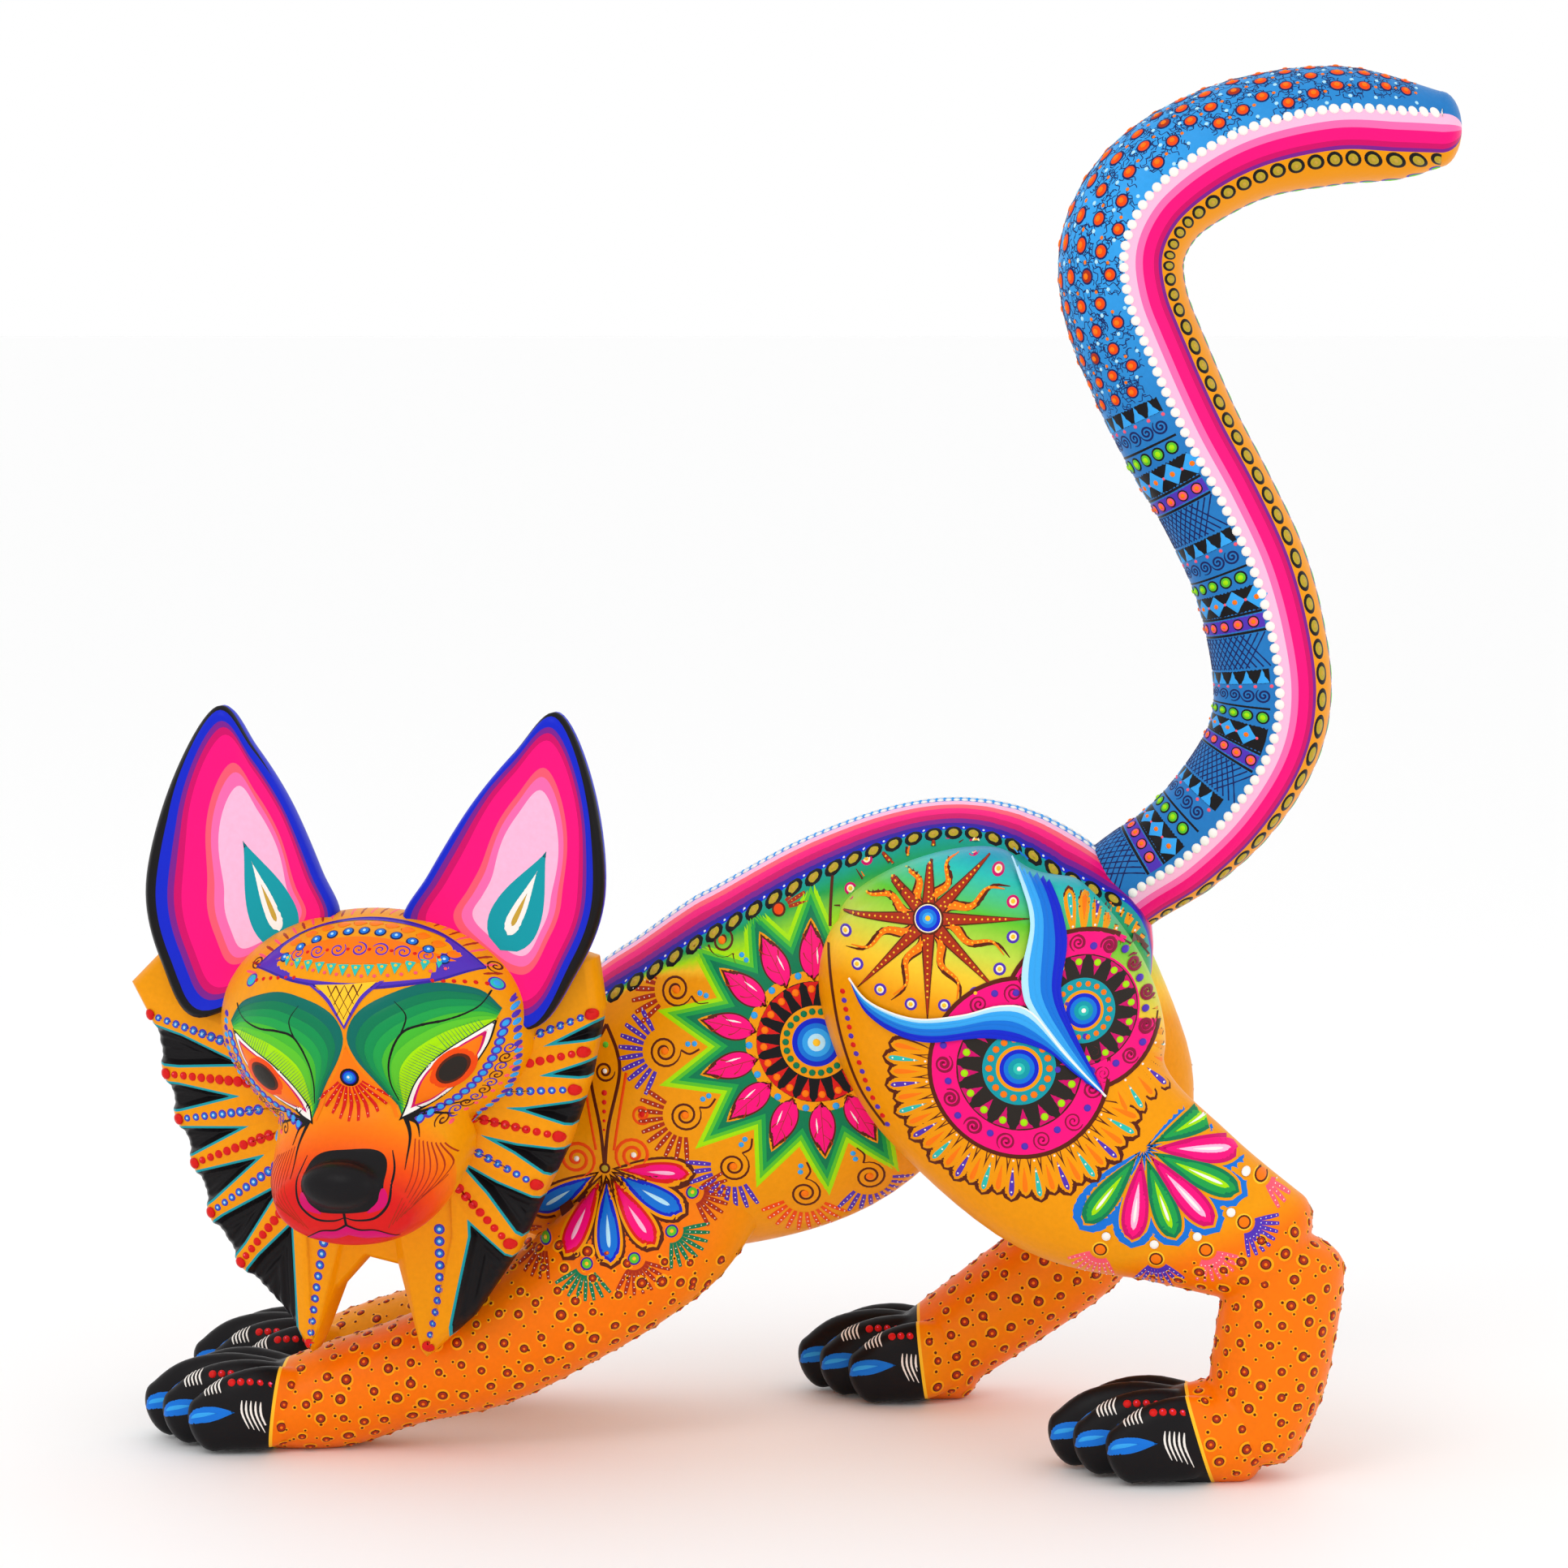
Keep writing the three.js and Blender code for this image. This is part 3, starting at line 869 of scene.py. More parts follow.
def haunch_wash(points, wash, above):
    """The haunch's sunset, from blue at its top to orange, over the colour of the leg below."""
    height = points[:, 2] + 0.25 * (points[:, 0] - 40)
    low = (132, "marigold"), (140, "yellow"), (150, "pear")
    sky = blend(height, *low, (160, "leaf"), (170, "sea"), (180, "cerulean"))
    share = np.clip(above / 8, 0, 1)[:, None]
    return wash * (1 - share) + sky * share


def make_leg(name, bones, lobes):
    """One leg with its toes, black from the edge of the paw down."""
    points, faces = fused([*[limb(b) for b in bones], *[limb(b, (4, 5), 8, 40) for b in lobes]], 0.8, 1)
    points = stand(points)
    paw = np.minimum(into_paw(name, points), ANKLE - points[:, 2])
    side = -1 if name.startswith("left") else 1
    outer = np.clip((points[:, 1] * side - 22) / 14, 0, 1)
    wash = blend(outer, (0, "marigold"), (1, "amber"))
    if "hind" in name:
        wash = haunch_wash(points, wash, above_dots(name, points))
    ground = washed(name + "_wash", border=("paw", [(0, "yellow"), (0.9, "black")]))
    piece(name + "_skin", points, faces, "figure", "painted_leg", [ground], [name], wash=wash, paw=paw)
    return Surface(points, faces)


def make_legs():
    """All four legs by name."""
    surfaces = {}
    surfaces["left_hind_leg"] = make_leg("left_hind_leg", LEFT_HIND, toes(71, -49, 14))
    surfaces["right_hind_leg"] = make_leg("right_hind_leg", RIGHT_HIND, toes(-5, 46, 14))
    for side, name in ((-1, "left_fore_leg"), (1, "right_fore_leg")):
        shift = 0 if side < 0 else 3  # the right paw stands a little further back
        surfaces[name] = make_leg(name, fore_bones(side, shift), toes(-187 + shift, 29 * side, 14))
    return surfaces


# ---------------------------------------------------------------- Tail

TAIL = [
    [84, 152, 13.5],
    [96, 161, 14],
    [108, 169, 14.5],
    [121, 182, 15.5],
    [131, 198, 16],
    [134, 213, 16.5],
    [132, 230, 16.5],
    [127, 248, 16.5],
    [118, 267, 16.5],
    [108, 285, 17],
    [99, 304, 17.5],
    [92, 322, 17.5],
    [91, 338, 17.5],
    [98, 352, 17.5],
    [111, 362, 17.5],
    [128, 369, 17],
    [149, 372, 16.5],
    [167, 371, 14],
    [179, 371, 10.5],
]
TAIL_SIDES = 96
TAIL_CAPS = (2, 6)


def distances(path):
    """How far along a path each of its points is."""
    return np.concatenate([[0], np.cumsum(np.linalg.norm(np.diff(path, axis=0), axis=1))])


def tail_run():
    """The tail's stations, and how far along it each one is."""
    run = smooth([[x, 0, z, r, r] for x, z, r in TAIL], 8)
    return run, distances(run[:, :3])


TAIL_LENGTH = float(tail_run()[1][-1])


def split(t):
    """The angle from the tail's upper line to its row of white dots, at a share of the length."""
    return np.radians(np.interp(t, [0, 0.35, 0.6, 0.75, 1], [100, 95, 96, 90, 68]))


TAIL_BANDS = [  # from how far below the row of white dots each paint starts, in mm
    (0, "pale_pink"),
    (3.1, "pink"),
    (5.2, "hot_pink"),
    (8.6, "magenta"),
    (10.2, "purple"),
    (11.4, "marigold"),
]


def make_tail():
    """The tail with the long bands along its two sides."""
    rings = limb([[x, 0, z, r, r] for x, z, r in TAIL], TAIL_CAPS, 8, TAIL_SIDES)
    points, faces = skin(rings)
    run, far = tail_run()
    _, side, up = directions(run, (0, 1, 0))
    near = np.linalg.norm(points[:, None] - run[None, :, :3], axis=2).argmin(axis=1)
    arm = points - run[near, :3]
    around = np.arctan2(np.abs(np.sum(arm * side[near], axis=1)), np.sum(arm * up[near], axis=1))
    t = far[near] / far[-1]
    band = (around - split(t)) * run[near, 3]
    wash = blend(t, (0, "cerulean"), (0.5, "cerulean"), (0.7, "sky"), (1, "cerulean"))
    ground = washed("tail_wash", border=("band", TAIL_BANDS))
    piece("tail_skin", points, faces, "tail", "painted_tail", [ground], ["tail"], wash=wash, band=band)
    return Surface(points, faces)


# ---------------------------------------------------------------- Mane, head and ears

MANE_OUTLINE = [
    [-77, 17], [-71, 6], [-69, -4], [-65, -19], [-58, -38], [-54, -50], [-46, -62], [-35, -73],
    [-24, -86], [-17, -68], [-8, -58], [2, -60], [9, -86], [22, -74], [35, -55], [42, -40],
    [50, -24], [56, -6], [60, 14], [58, 28], [40, 33], [20, 34], [0, 34], [-24, 34], [-50, 33], [-66, 28],
]
MANE_HEART = np.array([0.0, -10.0])  # the middle of the fan of locks
MANE_LOCKS = {1: [21.5, 12.5, 2, -13, -30.5, -50.5], -1: [165.5, 178.5, -170, -158, -145, -131]}


def rim_at(angle):
    """How far the mane's outline is from the fan's middle, at each angle."""
    corners = np.array(MANE_OUTLINE, float) - MANE_HEART
    follow = np.roll(corners, -1, axis=0)
    way = np.stack([np.cos(angle), np.sin(angle)], axis=-1)
    edge = follow - corners
    cross = way[:, None, 0] * edge[None, :, 1] - way[:, None, 1] * edge[None, :, 0]
    cross = np.where(cross == 0, 1e-9, cross)
    reach = (corners[:, 0] * edge[:, 1] - corners[:, 1] * edge[:, 0])[None] / cross
    share = (corners[None, :, 0] * way[:, None, 1] - corners[None, :, 1] * way[:, None, 0]) / cross
    good = (reach > 0) & (share >= 0) & (share <= 1)
    return np.where(good, reach, np.inf).min(axis=1)


PLAIN = -5.0  # the groove value where the mane has no carving
GROOVE_DEPTH = 3.0
FOLD_DEPTH = 0.35  # of the fine folds inside a groove
RIDGE_CROWN = 0.8  # how far a painted ridge swells


def beyond_lock(angle, radius):
    """How far a spot of the mane lies outside the nearest painted ridge, or PLAIN where all is smooth."""
    half = np.interp(radius, [40, 62], [5.2, 2.8])
    gap = np.full(radius.shape, np.inf)
    for lock in MANE_LOCKS[1] + MANE_LOCKS[-1]:
        off = (angle - math.radians(lock) + math.pi) % TAU - math.pi
        gap = np.minimum(gap, radius * np.abs(np.sin(np.clip(off, -1.5, 1.5))) - half)
    degrees = np.degrees(angle) % 360
    gap = np.where((degrees > MANE_LOCKS[1][0]) & (degrees < MANE_LOCKS[-1][0]), PLAIN, gap)
    x = radius * np.cos(angle)
    z = radius * np.sin(angle) + MANE_HEART[1]
    beard = np.maximum(-28 - x, x - np.interp(z, [-86, -50], [15, 24]))
    return np.where(z < -30, np.minimum(gap, np.maximum(beard, PLAIN)), gap)


def make_mane():
    """The carved mane with its grooves."""
    turns, rows = 1080, 84
    angle = np.arange(turns) * TAU / turns - math.pi
    rim = rim_at(angle)
    share = np.concatenate([np.linspace(0.3, 0.97, rows), [0.99, 1.0]])
    radius = rim[:, None] * share[None]
    gap = beyond_lock(angle[:, None], radius)
    carved = np.clip(gap / 1.6, 0, 1)
    folds = FOLD_DEPTH * carved * np.sin(gap * 2.2)
    crown = RIDGE_CROWN * np.clip(-gap / 3.3, 0, 1) * (gap > PLAIN)
    front = -9 + 9 * share[None] ** 1.6 + GROOVE_DEPTH * carved + folds - crown
    front = front + np.where(share[None] > 0.97, (share[None] - 0.97) * 90, 0)
    across = radius * np.cos(angle)[:, None]
    up = radius * np.sin(angle)[:, None] + MANE_HEART[1]
    face_side = np.stack([across, front, up], axis=-1)
    back_share = np.array([1.0, 0.985, 0.95, 0.7, 0.4])
    back_depth = np.array([9.0, 11.0, 12.0, 12.0, 12.0])
    back_reach = rim[:, None] * back_share[None]
    back_side = np.stack(
        [back_reach * np.cos(angle)[:, None], np.broadcast_to(back_depth, back_reach.shape),
         back_reach * np.sin(angle)[:, None] + MANE_HEART[1]], axis=-1
    )
    grid = np.concatenate([face_side, back_side], axis=1)
    local, faces = skin(np.swapaxes(grid, 0, 1))
    points = local @ MANE_TURN.T + HEAD_PLACE
    groove = np.concatenate([gap, np.repeat(gap[:, -1:], back_reach.shape[1], axis=1)], axis=1).T.ravel()
    groove = np.append(groove, [PLAIN, PLAIN])  # the two hubs that close the mane's skin
    wash = np.broadcast_to(linear("marigold"), (len(points), 3))
    ground = washed("mane_wash", border=("groove", [(-0.7, "teal"), (0.0, "black")]))
    piece("mane_skin", points, faces, "figure", "painted_mane", [ground], ["mane"], wash=wash, groove=groove)
    return Surface(points, faces)


SKULL = [[-2, 0, 9], [45.5, 30, 32]]
CROWN = [[-3, -6, 8], [39, 27, 33]]
CHEEKS = [[-1, -10, -16], [27, 20, 24]]
MUZZLE = [
    [0, -14, -16, 23, 28],
    [0, -26, -22, 19.5, 26.5],
    [0, -38, -25, 15.5, 24],
    [0, -47, -25.5, 11.5, 20],
]
NOSE = [[0, -49, -18.5], [11, 6.5, 6.5]]
FACE_BACK = -0.3  # where the head stops, in the mane's frame


def placed(rings, turn=HEAD_TURN):
    """Points of the head's own frame put on the figure."""
    return rings @ turn.T + HEAD_PLACE


ROLL = math.radians(3.4)  # the face is tilted a little


def black_nose(local):
    """Above 0 on the black part of the nose, in the head's frame."""
    x = local[:, 0] * math.cos(ROLL) + local[:, 2] * math.sin(ROLL)
    z = local[:, 2] * math.cos(ROLL) - local[:, 0] * math.sin(ROLL)
    inside = 1 - np.abs(x / 11.4) ** 3.2 - np.abs((z + 18.2) / 7.2) ** 3.2
    return np.where(local[:, 1] < -40, inside, -1)


def make_head():
    """Skull, crown, cheeks, muzzle and nose in one skin."""
    forms = [ball(*SKULL), ball(*CROWN), ball(*CHEEKS), ball(*NOSE), limb(MUZZLE, (4, 5), 8, 56, (1, 0, 0))]
    points, faces = fused([placed(form) for form in forms], 0.8, 4)
    behind = to_mane(points)[:, 1] - FACE_BACK
    points = points - np.outer(np.where(behind > 0, behind, 0), MANE_TURN @ np.array([0.0, 1.0, 0.0]))
    local = (points - HEAD_PLACE) @ HEAD_TURN
    snout = np.clip((-local[:, 1] - 28) / 22, 0, 1)
    snout = snout + 0.35 * np.clip((-8 - local[:, 2]) / 25, 0, 1) * (snout > 0)
    wash = blend(snout, (0, "marigold"), (0.35, "orange"), (0.8, "deep_orange"), (1.2, "red"))
    ground = washed("head_wash", border=("nose", [(0, "black")]))
    nose = black_nose(local)
    piece("head_skin", points, faces, "figure", "painted_head", [ground], ["head"], wash=wash, nose=nose)
    return Surface(points, faces)


EAR_LEAF = [  # an ear's outline as [across, up]: below zero, across is towards the head's middle
    [0, 96], [-11, 85], [-22, 70], [-32, 51], [-38, 37],
    [-26, 24], [0, 9], [12, 24], [18, 46], [12, 75],
]
EARS = {-1: (50, -0.07), 1: (46, 0.11)}  # side: middle across and lean


def ear_outline(side):
    """One ear's outline in the head's own [across, up]."""
    middle, lean = EARS[side]
    return np.array([[side * (middle + lean * (up - 50) + across), up] for across, up in EAR_LEAF], float)


def rounded(corners, steps=10):
    """A closed Catmull-Rom curve through corners."""
    a, b = np.roll(corners, 1, axis=0), corners
    c, d = np.roll(corners, -1, axis=0), np.roll(corners, -2, axis=0)
    t = (np.arange(steps) / steps)[None, :, None]
    a, b, c, d = a[:, None], b[:, None], c[:, None], d[:, None]
    cubic = (3 * b - a - 3 * c + d) * t**3
    return (0.5 * (2 * b + (c - a) * t + (2 * a - 5 * b + 4 * c - d) * t**2 + cubic)).reshape(-1, 2)


EAR_RINGS = [
    (0.36, "pink"),
    (0.44, "coral"),
    (0.50, "hot_pink"),
    (0.70, "magenta"),
    (0.76, "purple"),
    (0.81, "royal"),
    (0.90, "black"),
]
EAR_HEARTS = {-1: (-33.5, 40.0), 1: (39.5, 42.0)}  # the middle of each ear's rings, in the mane's frame


def make_ear(side):
    """One hollowed ear leaf with its painted borders."""
    name = "left_ear" if side > 0 else "right_ear"
    outline = rounded(ear_outline(side))
    heart = np.array(EAR_HEARTS[side])
    share = np.concatenate([np.linspace(0.02, 0.95, 60), [0.975, 0.99, 1.0]])
    across = heart[None, None, 0] + (outline[:, None, 0] - heart[0]) * share[None]
    up = heart[None, None, 1] + (outline[:, None, 1] - heart[1]) * share[None]
    hollow = -10.6 + 5.2 * np.clip(1 - share[None] ** 2.2, 0, 1) + 0 * across
    hollow = hollow + np.where(share[None] > 0.96, (share[None] - 0.96) * 60, 0)
    front = np.stack([across, hollow, up], axis=-1)
    back_share = np.array([1.0, 0.99, 0.95, 0.7, 0.4, 0.1])
    depth = np.array([-5.0, -3.6, -2.4, -2.0, -2.0, -2.0])
    back = np.stack(
        [heart[0] + (outline[:, None, 0] - heart[0]) * back_share[None],
         np.broadcast_to(depth, (len(outline), len(depth))),
         heart[1] + (outline[:, None, 1] - heart[1]) * back_share[None]], axis=-1
    )
    local, faces = skin(np.swapaxes(np.concatenate([front, back], axis=1), 0, 1))
    points = local @ MANE_TURN.T + HEAD_PLACE
    outward_share = unit(outline - heart)[:, 0] * side
    pull = np.interp(outward_share, [-0.2, 0.75], [0.885, 1.0])[:, None]
    tip = unit(outline[0] - heart)
    spire = 1 + 0.9 * np.clip(unit(outline - heart) @ tip, 0, 1)[:, None] ** 6  # the rings rise to the tip
    rings = np.concatenate([share**spire * pull, np.full((len(outline), 6), 0.86)], axis=1)
    ring = np.append(rings.T.ravel(), [0.0, 0.86])
    wash = np.broadcast_to(linear("pale_pink"), (len(points), 3))
    ground = washed(name + "_wash", border=("ring", EAR_RINGS))
    piece(name + "_skin", points, faces, name, "painted_ear", [ground], [name], wash=wash, ring=ring)
    return Surface(points, faces)

# ---------------------------------------------------------------- Bare wood


def copal():
    """Bare copal wood, pale with fine darker grain."""
    if "copal" not in _made:
        material, principled = shader("copal", 0.62)
        link = material.node_tree.links.new
        place = add_node(material, "ShaderNodeTexCoord")
        grain = add_node(material, "ShaderNodeTexNoise", Scale=160.0, Detail=6.0, Distortion=1.2)
        mix = add_node(material, "ShaderNodeMix", data_type="RGBA")
        mix.inputs["A"].default_value = (*linear("heartwood"), 1)
        mix.inputs["B"].default_value = (*linear("sapwood"), 1)
        bump = add_node(material, "ShaderNodeBump", Strength=0.25, Distance=0.0005)
        link(place.outputs["Object"], grain.inputs["Vector"])
        link(grain.outputs["Fac"], mix.inputs["Factor"])
        link(grain.outputs["Fac"], bump.inputs["Height"])
        link(mix.outputs["Result"], principled.inputs["Base Color"])
        link(bump.outputs["Normal"], principled.inputs["Normal"])
        _made["copal"] = material
    return _made["copal"]


TAIL_SEAT = np.array([92, 0, 159.0])
TAIL_AXIS = np.array([math.cos(math.radians(40)), 0, math.sin(math.radians(40))])
TAIL_TENON = (6.5, 30)  # radius and length


def make_tenon(name, body, foot, way, radius, length, root):
    """A tenon from its foot in the socket to a root inside the piece that it carries."""
    ends = [foot + way, foot + way * (length * 0.5), foot + way * (length + root)]
    rings = limb([[*end, radius, radius] for end in ends], (1, 1), 6, 40, np.cross(way, [0.2, 1, 0.1]))
    points, faces = skin(rings)
    piece(name, points, faces, body, "bare_wood", [copal()])


def make_socket_shade(name, rim, way, radius):
    """The mouth of a socket, just under the piece that covers it: a ring and disc of soot paint on the
    surface, painted shade that stands in for the hollow of the hole.
    """
    turns = 40
    side = unit(np.cross(way, [0.2, 1, 0.1]))
    ring = circle(turns) @ np.array([side, np.cross(way, side)])
    rows = [(1.25, 0.0), (1.2, 0.35), (1.02, 0.35), (0.98, 0.1), (0.5, 0.05)]
    rings = np.array([rim + ring * radius * wide + way * high for wide, high in rows])
    points, faces = skin(rings)
    # the soot paint here is painted shade for the inside of the socket's hole
    piece(name, points, faces, "figure", "bare_wood", [acrylic("soot")])


def make_joints():
    """The tail's tenon, the painted shade at the mouth of its socket, and the wood of the dowels."""
    radius, length = TAIL_TENON
    make_tenon("tail_tenon", "tail", TAIL_SEAT - TAIL_AXIS * length, TAIL_AXIS, radius, length, 6)
    # a soot-black ring on the torso is painted shade where the tail's socket hole would be dark
    make_socket_shade("tail_socket_shade", TAIL_SEAT, TAIL_AXIS, radius)
    for name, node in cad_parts.items():
        if "dowel" in name:
            node.data.materials.clear()
            node.data.materials.append(copal())


# ---------------------------------------------------------------- Room


def pointing(way):
    """The turn that points a light or a camera along a direction."""
    return Vector(way).to_track_quat("-Z", "Y").to_euler()


def softbox(name, place, size, power):
    """A square lamp aimed at the middle of the figure."""
    light = bpy.data.lights.new(name, "AREA")
    light.size = size
    light.energy = power
    thing = bpy.data.objects.new(name, light)
    bpy.context.scene.collection.objects.link(thing)
    thing.location = place
    thing.rotation_euler = pointing(np.array([0, 0, 0.2]) - place)


def make_room():
    """A white table and a white dome, with two soft lamps."""
    floor = bpy.data.objects.new("floor", bpy.data.meshes.new("floor"))
    reach = 60
    corners = [(-reach, -reach, 0), (reach, -reach, 0), (reach, reach, 0), (-reach, reach, 0)]
    floor.data.from_pydata(corners, [], [(0, 1, 2, 3)])
    bpy.context.scene.collection.objects.link(floor)
    material = bpy.data.materials.new("table")
    material.use_nodes = True
    principled = material.node_tree.nodes["Principled BSDF"]
    principled.inputs["Base Color"].default_value = (0.98, 0.98, 0.98, 1)
    principled.inputs["Roughness"].default_value = 0.6
    floor.data.materials.append(material)
    world = bpy.data.worlds.new("room")
    bpy.context.scene.world = world
    world.use_nodes = True
    world.node_tree.nodes["Background"].inputs["Color"].default_value = (1, 1, 1, 1)
    world.node_tree.nodes["Background"].inputs["Strength"].default_value = 1.0
    bpy.context.scene.view_settings.view_transform = "Standard"
    softbox("key", np.array([-0.6, -1.2, 1.3]), 0.7, 4)
    softbox("fill", np.array([1.3, -0.9, 0.7]), 0.9, 1.5)


def make_camera():
    """The camera, a little above the figure and in front of it."""
    azimuth, height, distance = math.radians(4.0), math.radians(5.5), 1.4
    field = math.radians(18.12)
    target = (np.array([-4.2, 0.0, 186.5]) - MIDDLE) * MM
    flat = math.cos(height)
    back = np.array([math.sin(azimuth) * flat, -math.cos(azimuth) * flat, math.sin(height)])
    lens = bpy.data.cameras.new("camera")
    lens.sensor_width = 36
    lens.lens = lens.sensor_width / (2 * math.tan(field / 2))
    thing = bpy.data.objects.new("camera", lens)
    bpy.context.scene.collection.objects.link(thing)
    thing.location = target + back * distance
    thing.rotation_euler = pointing(-back)
    bpy.context.scene.camera = thing


# ---------------------------------------------------------------- Spine and flanks


def along_spine(side):
    """A chart in [x, how far down from the ridge] on one flank."""
    run = smooth(TRUNK, 16)

    def chart(spots):
        near = np.abs(spots[:, None, 0] - run[None, :, 0]).argmin(axis=1)
        tall, wide = run[near, 3], run[near, 4]
        steps = np.linspace(0, 2, 80)
        lengths = np.hypot(wide[:, None] * np.cos(steps), tall[:, None] * np.sin(steps)) * steps[1]
        reach = np.cumsum(lengths, axis=1) - lengths
        angle = np.array([np.interp(q, r, steps) for q, r in zip(np.abs(spots[:, 1]), reach)])
        angle = angle * np.sign(spots[:, 1])
        way = np.stack([0 * angle, side * wide * np.sin(angle), tall * np.cos(angle)], axis=-1)
        middle = np.stack([spots[:, 0], run[near, 1], run[near, 2]], axis=-1)
        return middle + way * 1.6, -unit(way)

    return chart


def paint_spine(surface, side):
    """The dots and ringed discs along one side of the back."""
    paint = Paint(surface, along_spine(side), 60)
    for x in np.arange(-86, 92, 2.3):
        paint.dot("white", (x, 3.3), 0.95, 0, 0.5)
        paint.dot("sky", (x + 1.1, 1.0), 0.5, 0, 0.5)
    for x in np.arange(-84, 90, 5.6):
        paint.disc("black", (x, 21.4), 2.5, 1)
        paint.disc("olive", (x, 21.4), 1.5, 2)
        paint.dot("gold", (x, 21.4), 0.7, 3)
        paint.dot("white", (x + 2.8, 19.4), 0.4, 0)
    return paint.make(f"spine_marks_{side_name(side)}", "figure", "painted_body")


def side_name(side):
    """The name of a flank: -1 is the left one."""
    return "left" if side < 0 else "right"


FLOWER = np.array([7.4, 117.7])


def paint_flower(paint):
    """A zigzag star, leaf petals and rings round a blue boss."""
    rays, turn = 14, 0.284
    star = [(47, 31, "lime"), (44.2, 29.2, "leaf"), (41.6, 27.4, "green"), (38.8, 25.4, "forest")]
    for level, (tip, valley, name) in enumerate(star):
        paint.star(name, FLOWER, valley, tip, rays, level * 0.6, turn, 15)
    paint.disc("marigold", FLOWER, 20.5, 2.6, inner=15)
    for foot, way in around(FLOWER, 17.6, rays, turn):
        tip = FLOWER + way * 33
        paint.leaf("marigold", foot - way * 1.0, tip + way * 1.0, 8.6, 3.2)
        paint.leaf("brown", foot - way * 0.5, tip + way * 0.3, 7.6, 4.0)
        paint.leaf("hot_pink", foot, tip - way * 0.9, 6.7, 4.8)
        aside = quarter_turn(way)
        for share, sweep in ((0.25, 1), (0.42, -1), (0.58, 1)):
            root = foot + (tip - foot) * share
            end = root + way * 3.2 + aside * sweep * 2.4
            paint.stroke("brick", curve(root, (root + end) / 2 + aside * sweep * 0.5, end, steps=3), 0.2, 5.6)
        paint.stroke("brick", curve(foot, (foot + tip) / 2, tip - way * 2, steps=5), 0.24, 5.6)
        light = foot + way * 4 - aside * 1.5
        glint = curve(light, light + way * 2.2, light + way * 4.4, steps=3)
        paint.stroke("white", glint, [0.1, 0.2, 0.35, 0.45, 0.35, 0.2, 0.1], 5.8)
    for spot, _ in around(FLOWER, 18.9, rays, turn + math.pi / rays):
        paint.dot("sky", spot, 1.0, 3.6)
    paint.disc("brown", FLOWER, 17.6, 3.6, inner=9)
    paint.disc("black", FLOWER, 17.2, 4.1, inner=9)
    for spot, way in around(FLOWER, 16.7, 20, 0.1):
        paint.spike("red", spot, spot - way * 6.4, 4.3, 5)
        paint.dot("orange", spot - way * 1.9, 1.05, 5.8)
        paint.dot("yellow", spot - way * 1.9, 0.5, 7.5)
    paint.target(FLOWER, [(10.6, "soot"), (10.2, "marigold")], 5)
    for spot, _ in around(FLOWER, 8.6, 22):
        paint.dot("forest", spot, 0.95, 7)
        paint.dot("leaf", spot, 0.5, 9)
    boss = [(7.1, "navy"), (6.8, "royal"), (5.6, "azure"), (4.2, "sky"), (2.6, "ice")]
    paint.target(FLOWER, boss, 7)
    paint.dot("yellow", FLOWER, 1.1, 11)


def curl(paint, centre, away, line, hairs, core="orange", size=4.7, spread=62):
    """A brown spiral with a tail of blue dots on one side and a comb of beaded hairs on the other."""
    away = np.asarray(away, float)
    bearing = math.atan2(away[1], away[0])
    paint.spiral(line, centre, size, 2.4, 0.34, 1, start=bearing + math.pi - TAU * 2.4)
    paint.dot(core, centre, 1.1, 1)
    root = np.asarray(centre) - away * size
    bend = quarter_turn(away) * 1.2
    paint.stroke(line, curve(root, root - away * 2.4 + bend, root - away * 5.2, steps=4), 0.3, 1)
    for step in (2.0, 3.9):
        paint.dot("sky", root - away * step - bend * 1.3, 0.8, 1)
    reach = math.radians(spread)
    paint.comb(hairs, centre, size + 1.6, size + 8.6, bearing - reach, bearing + reach, 10, 0.72, 1, "white")


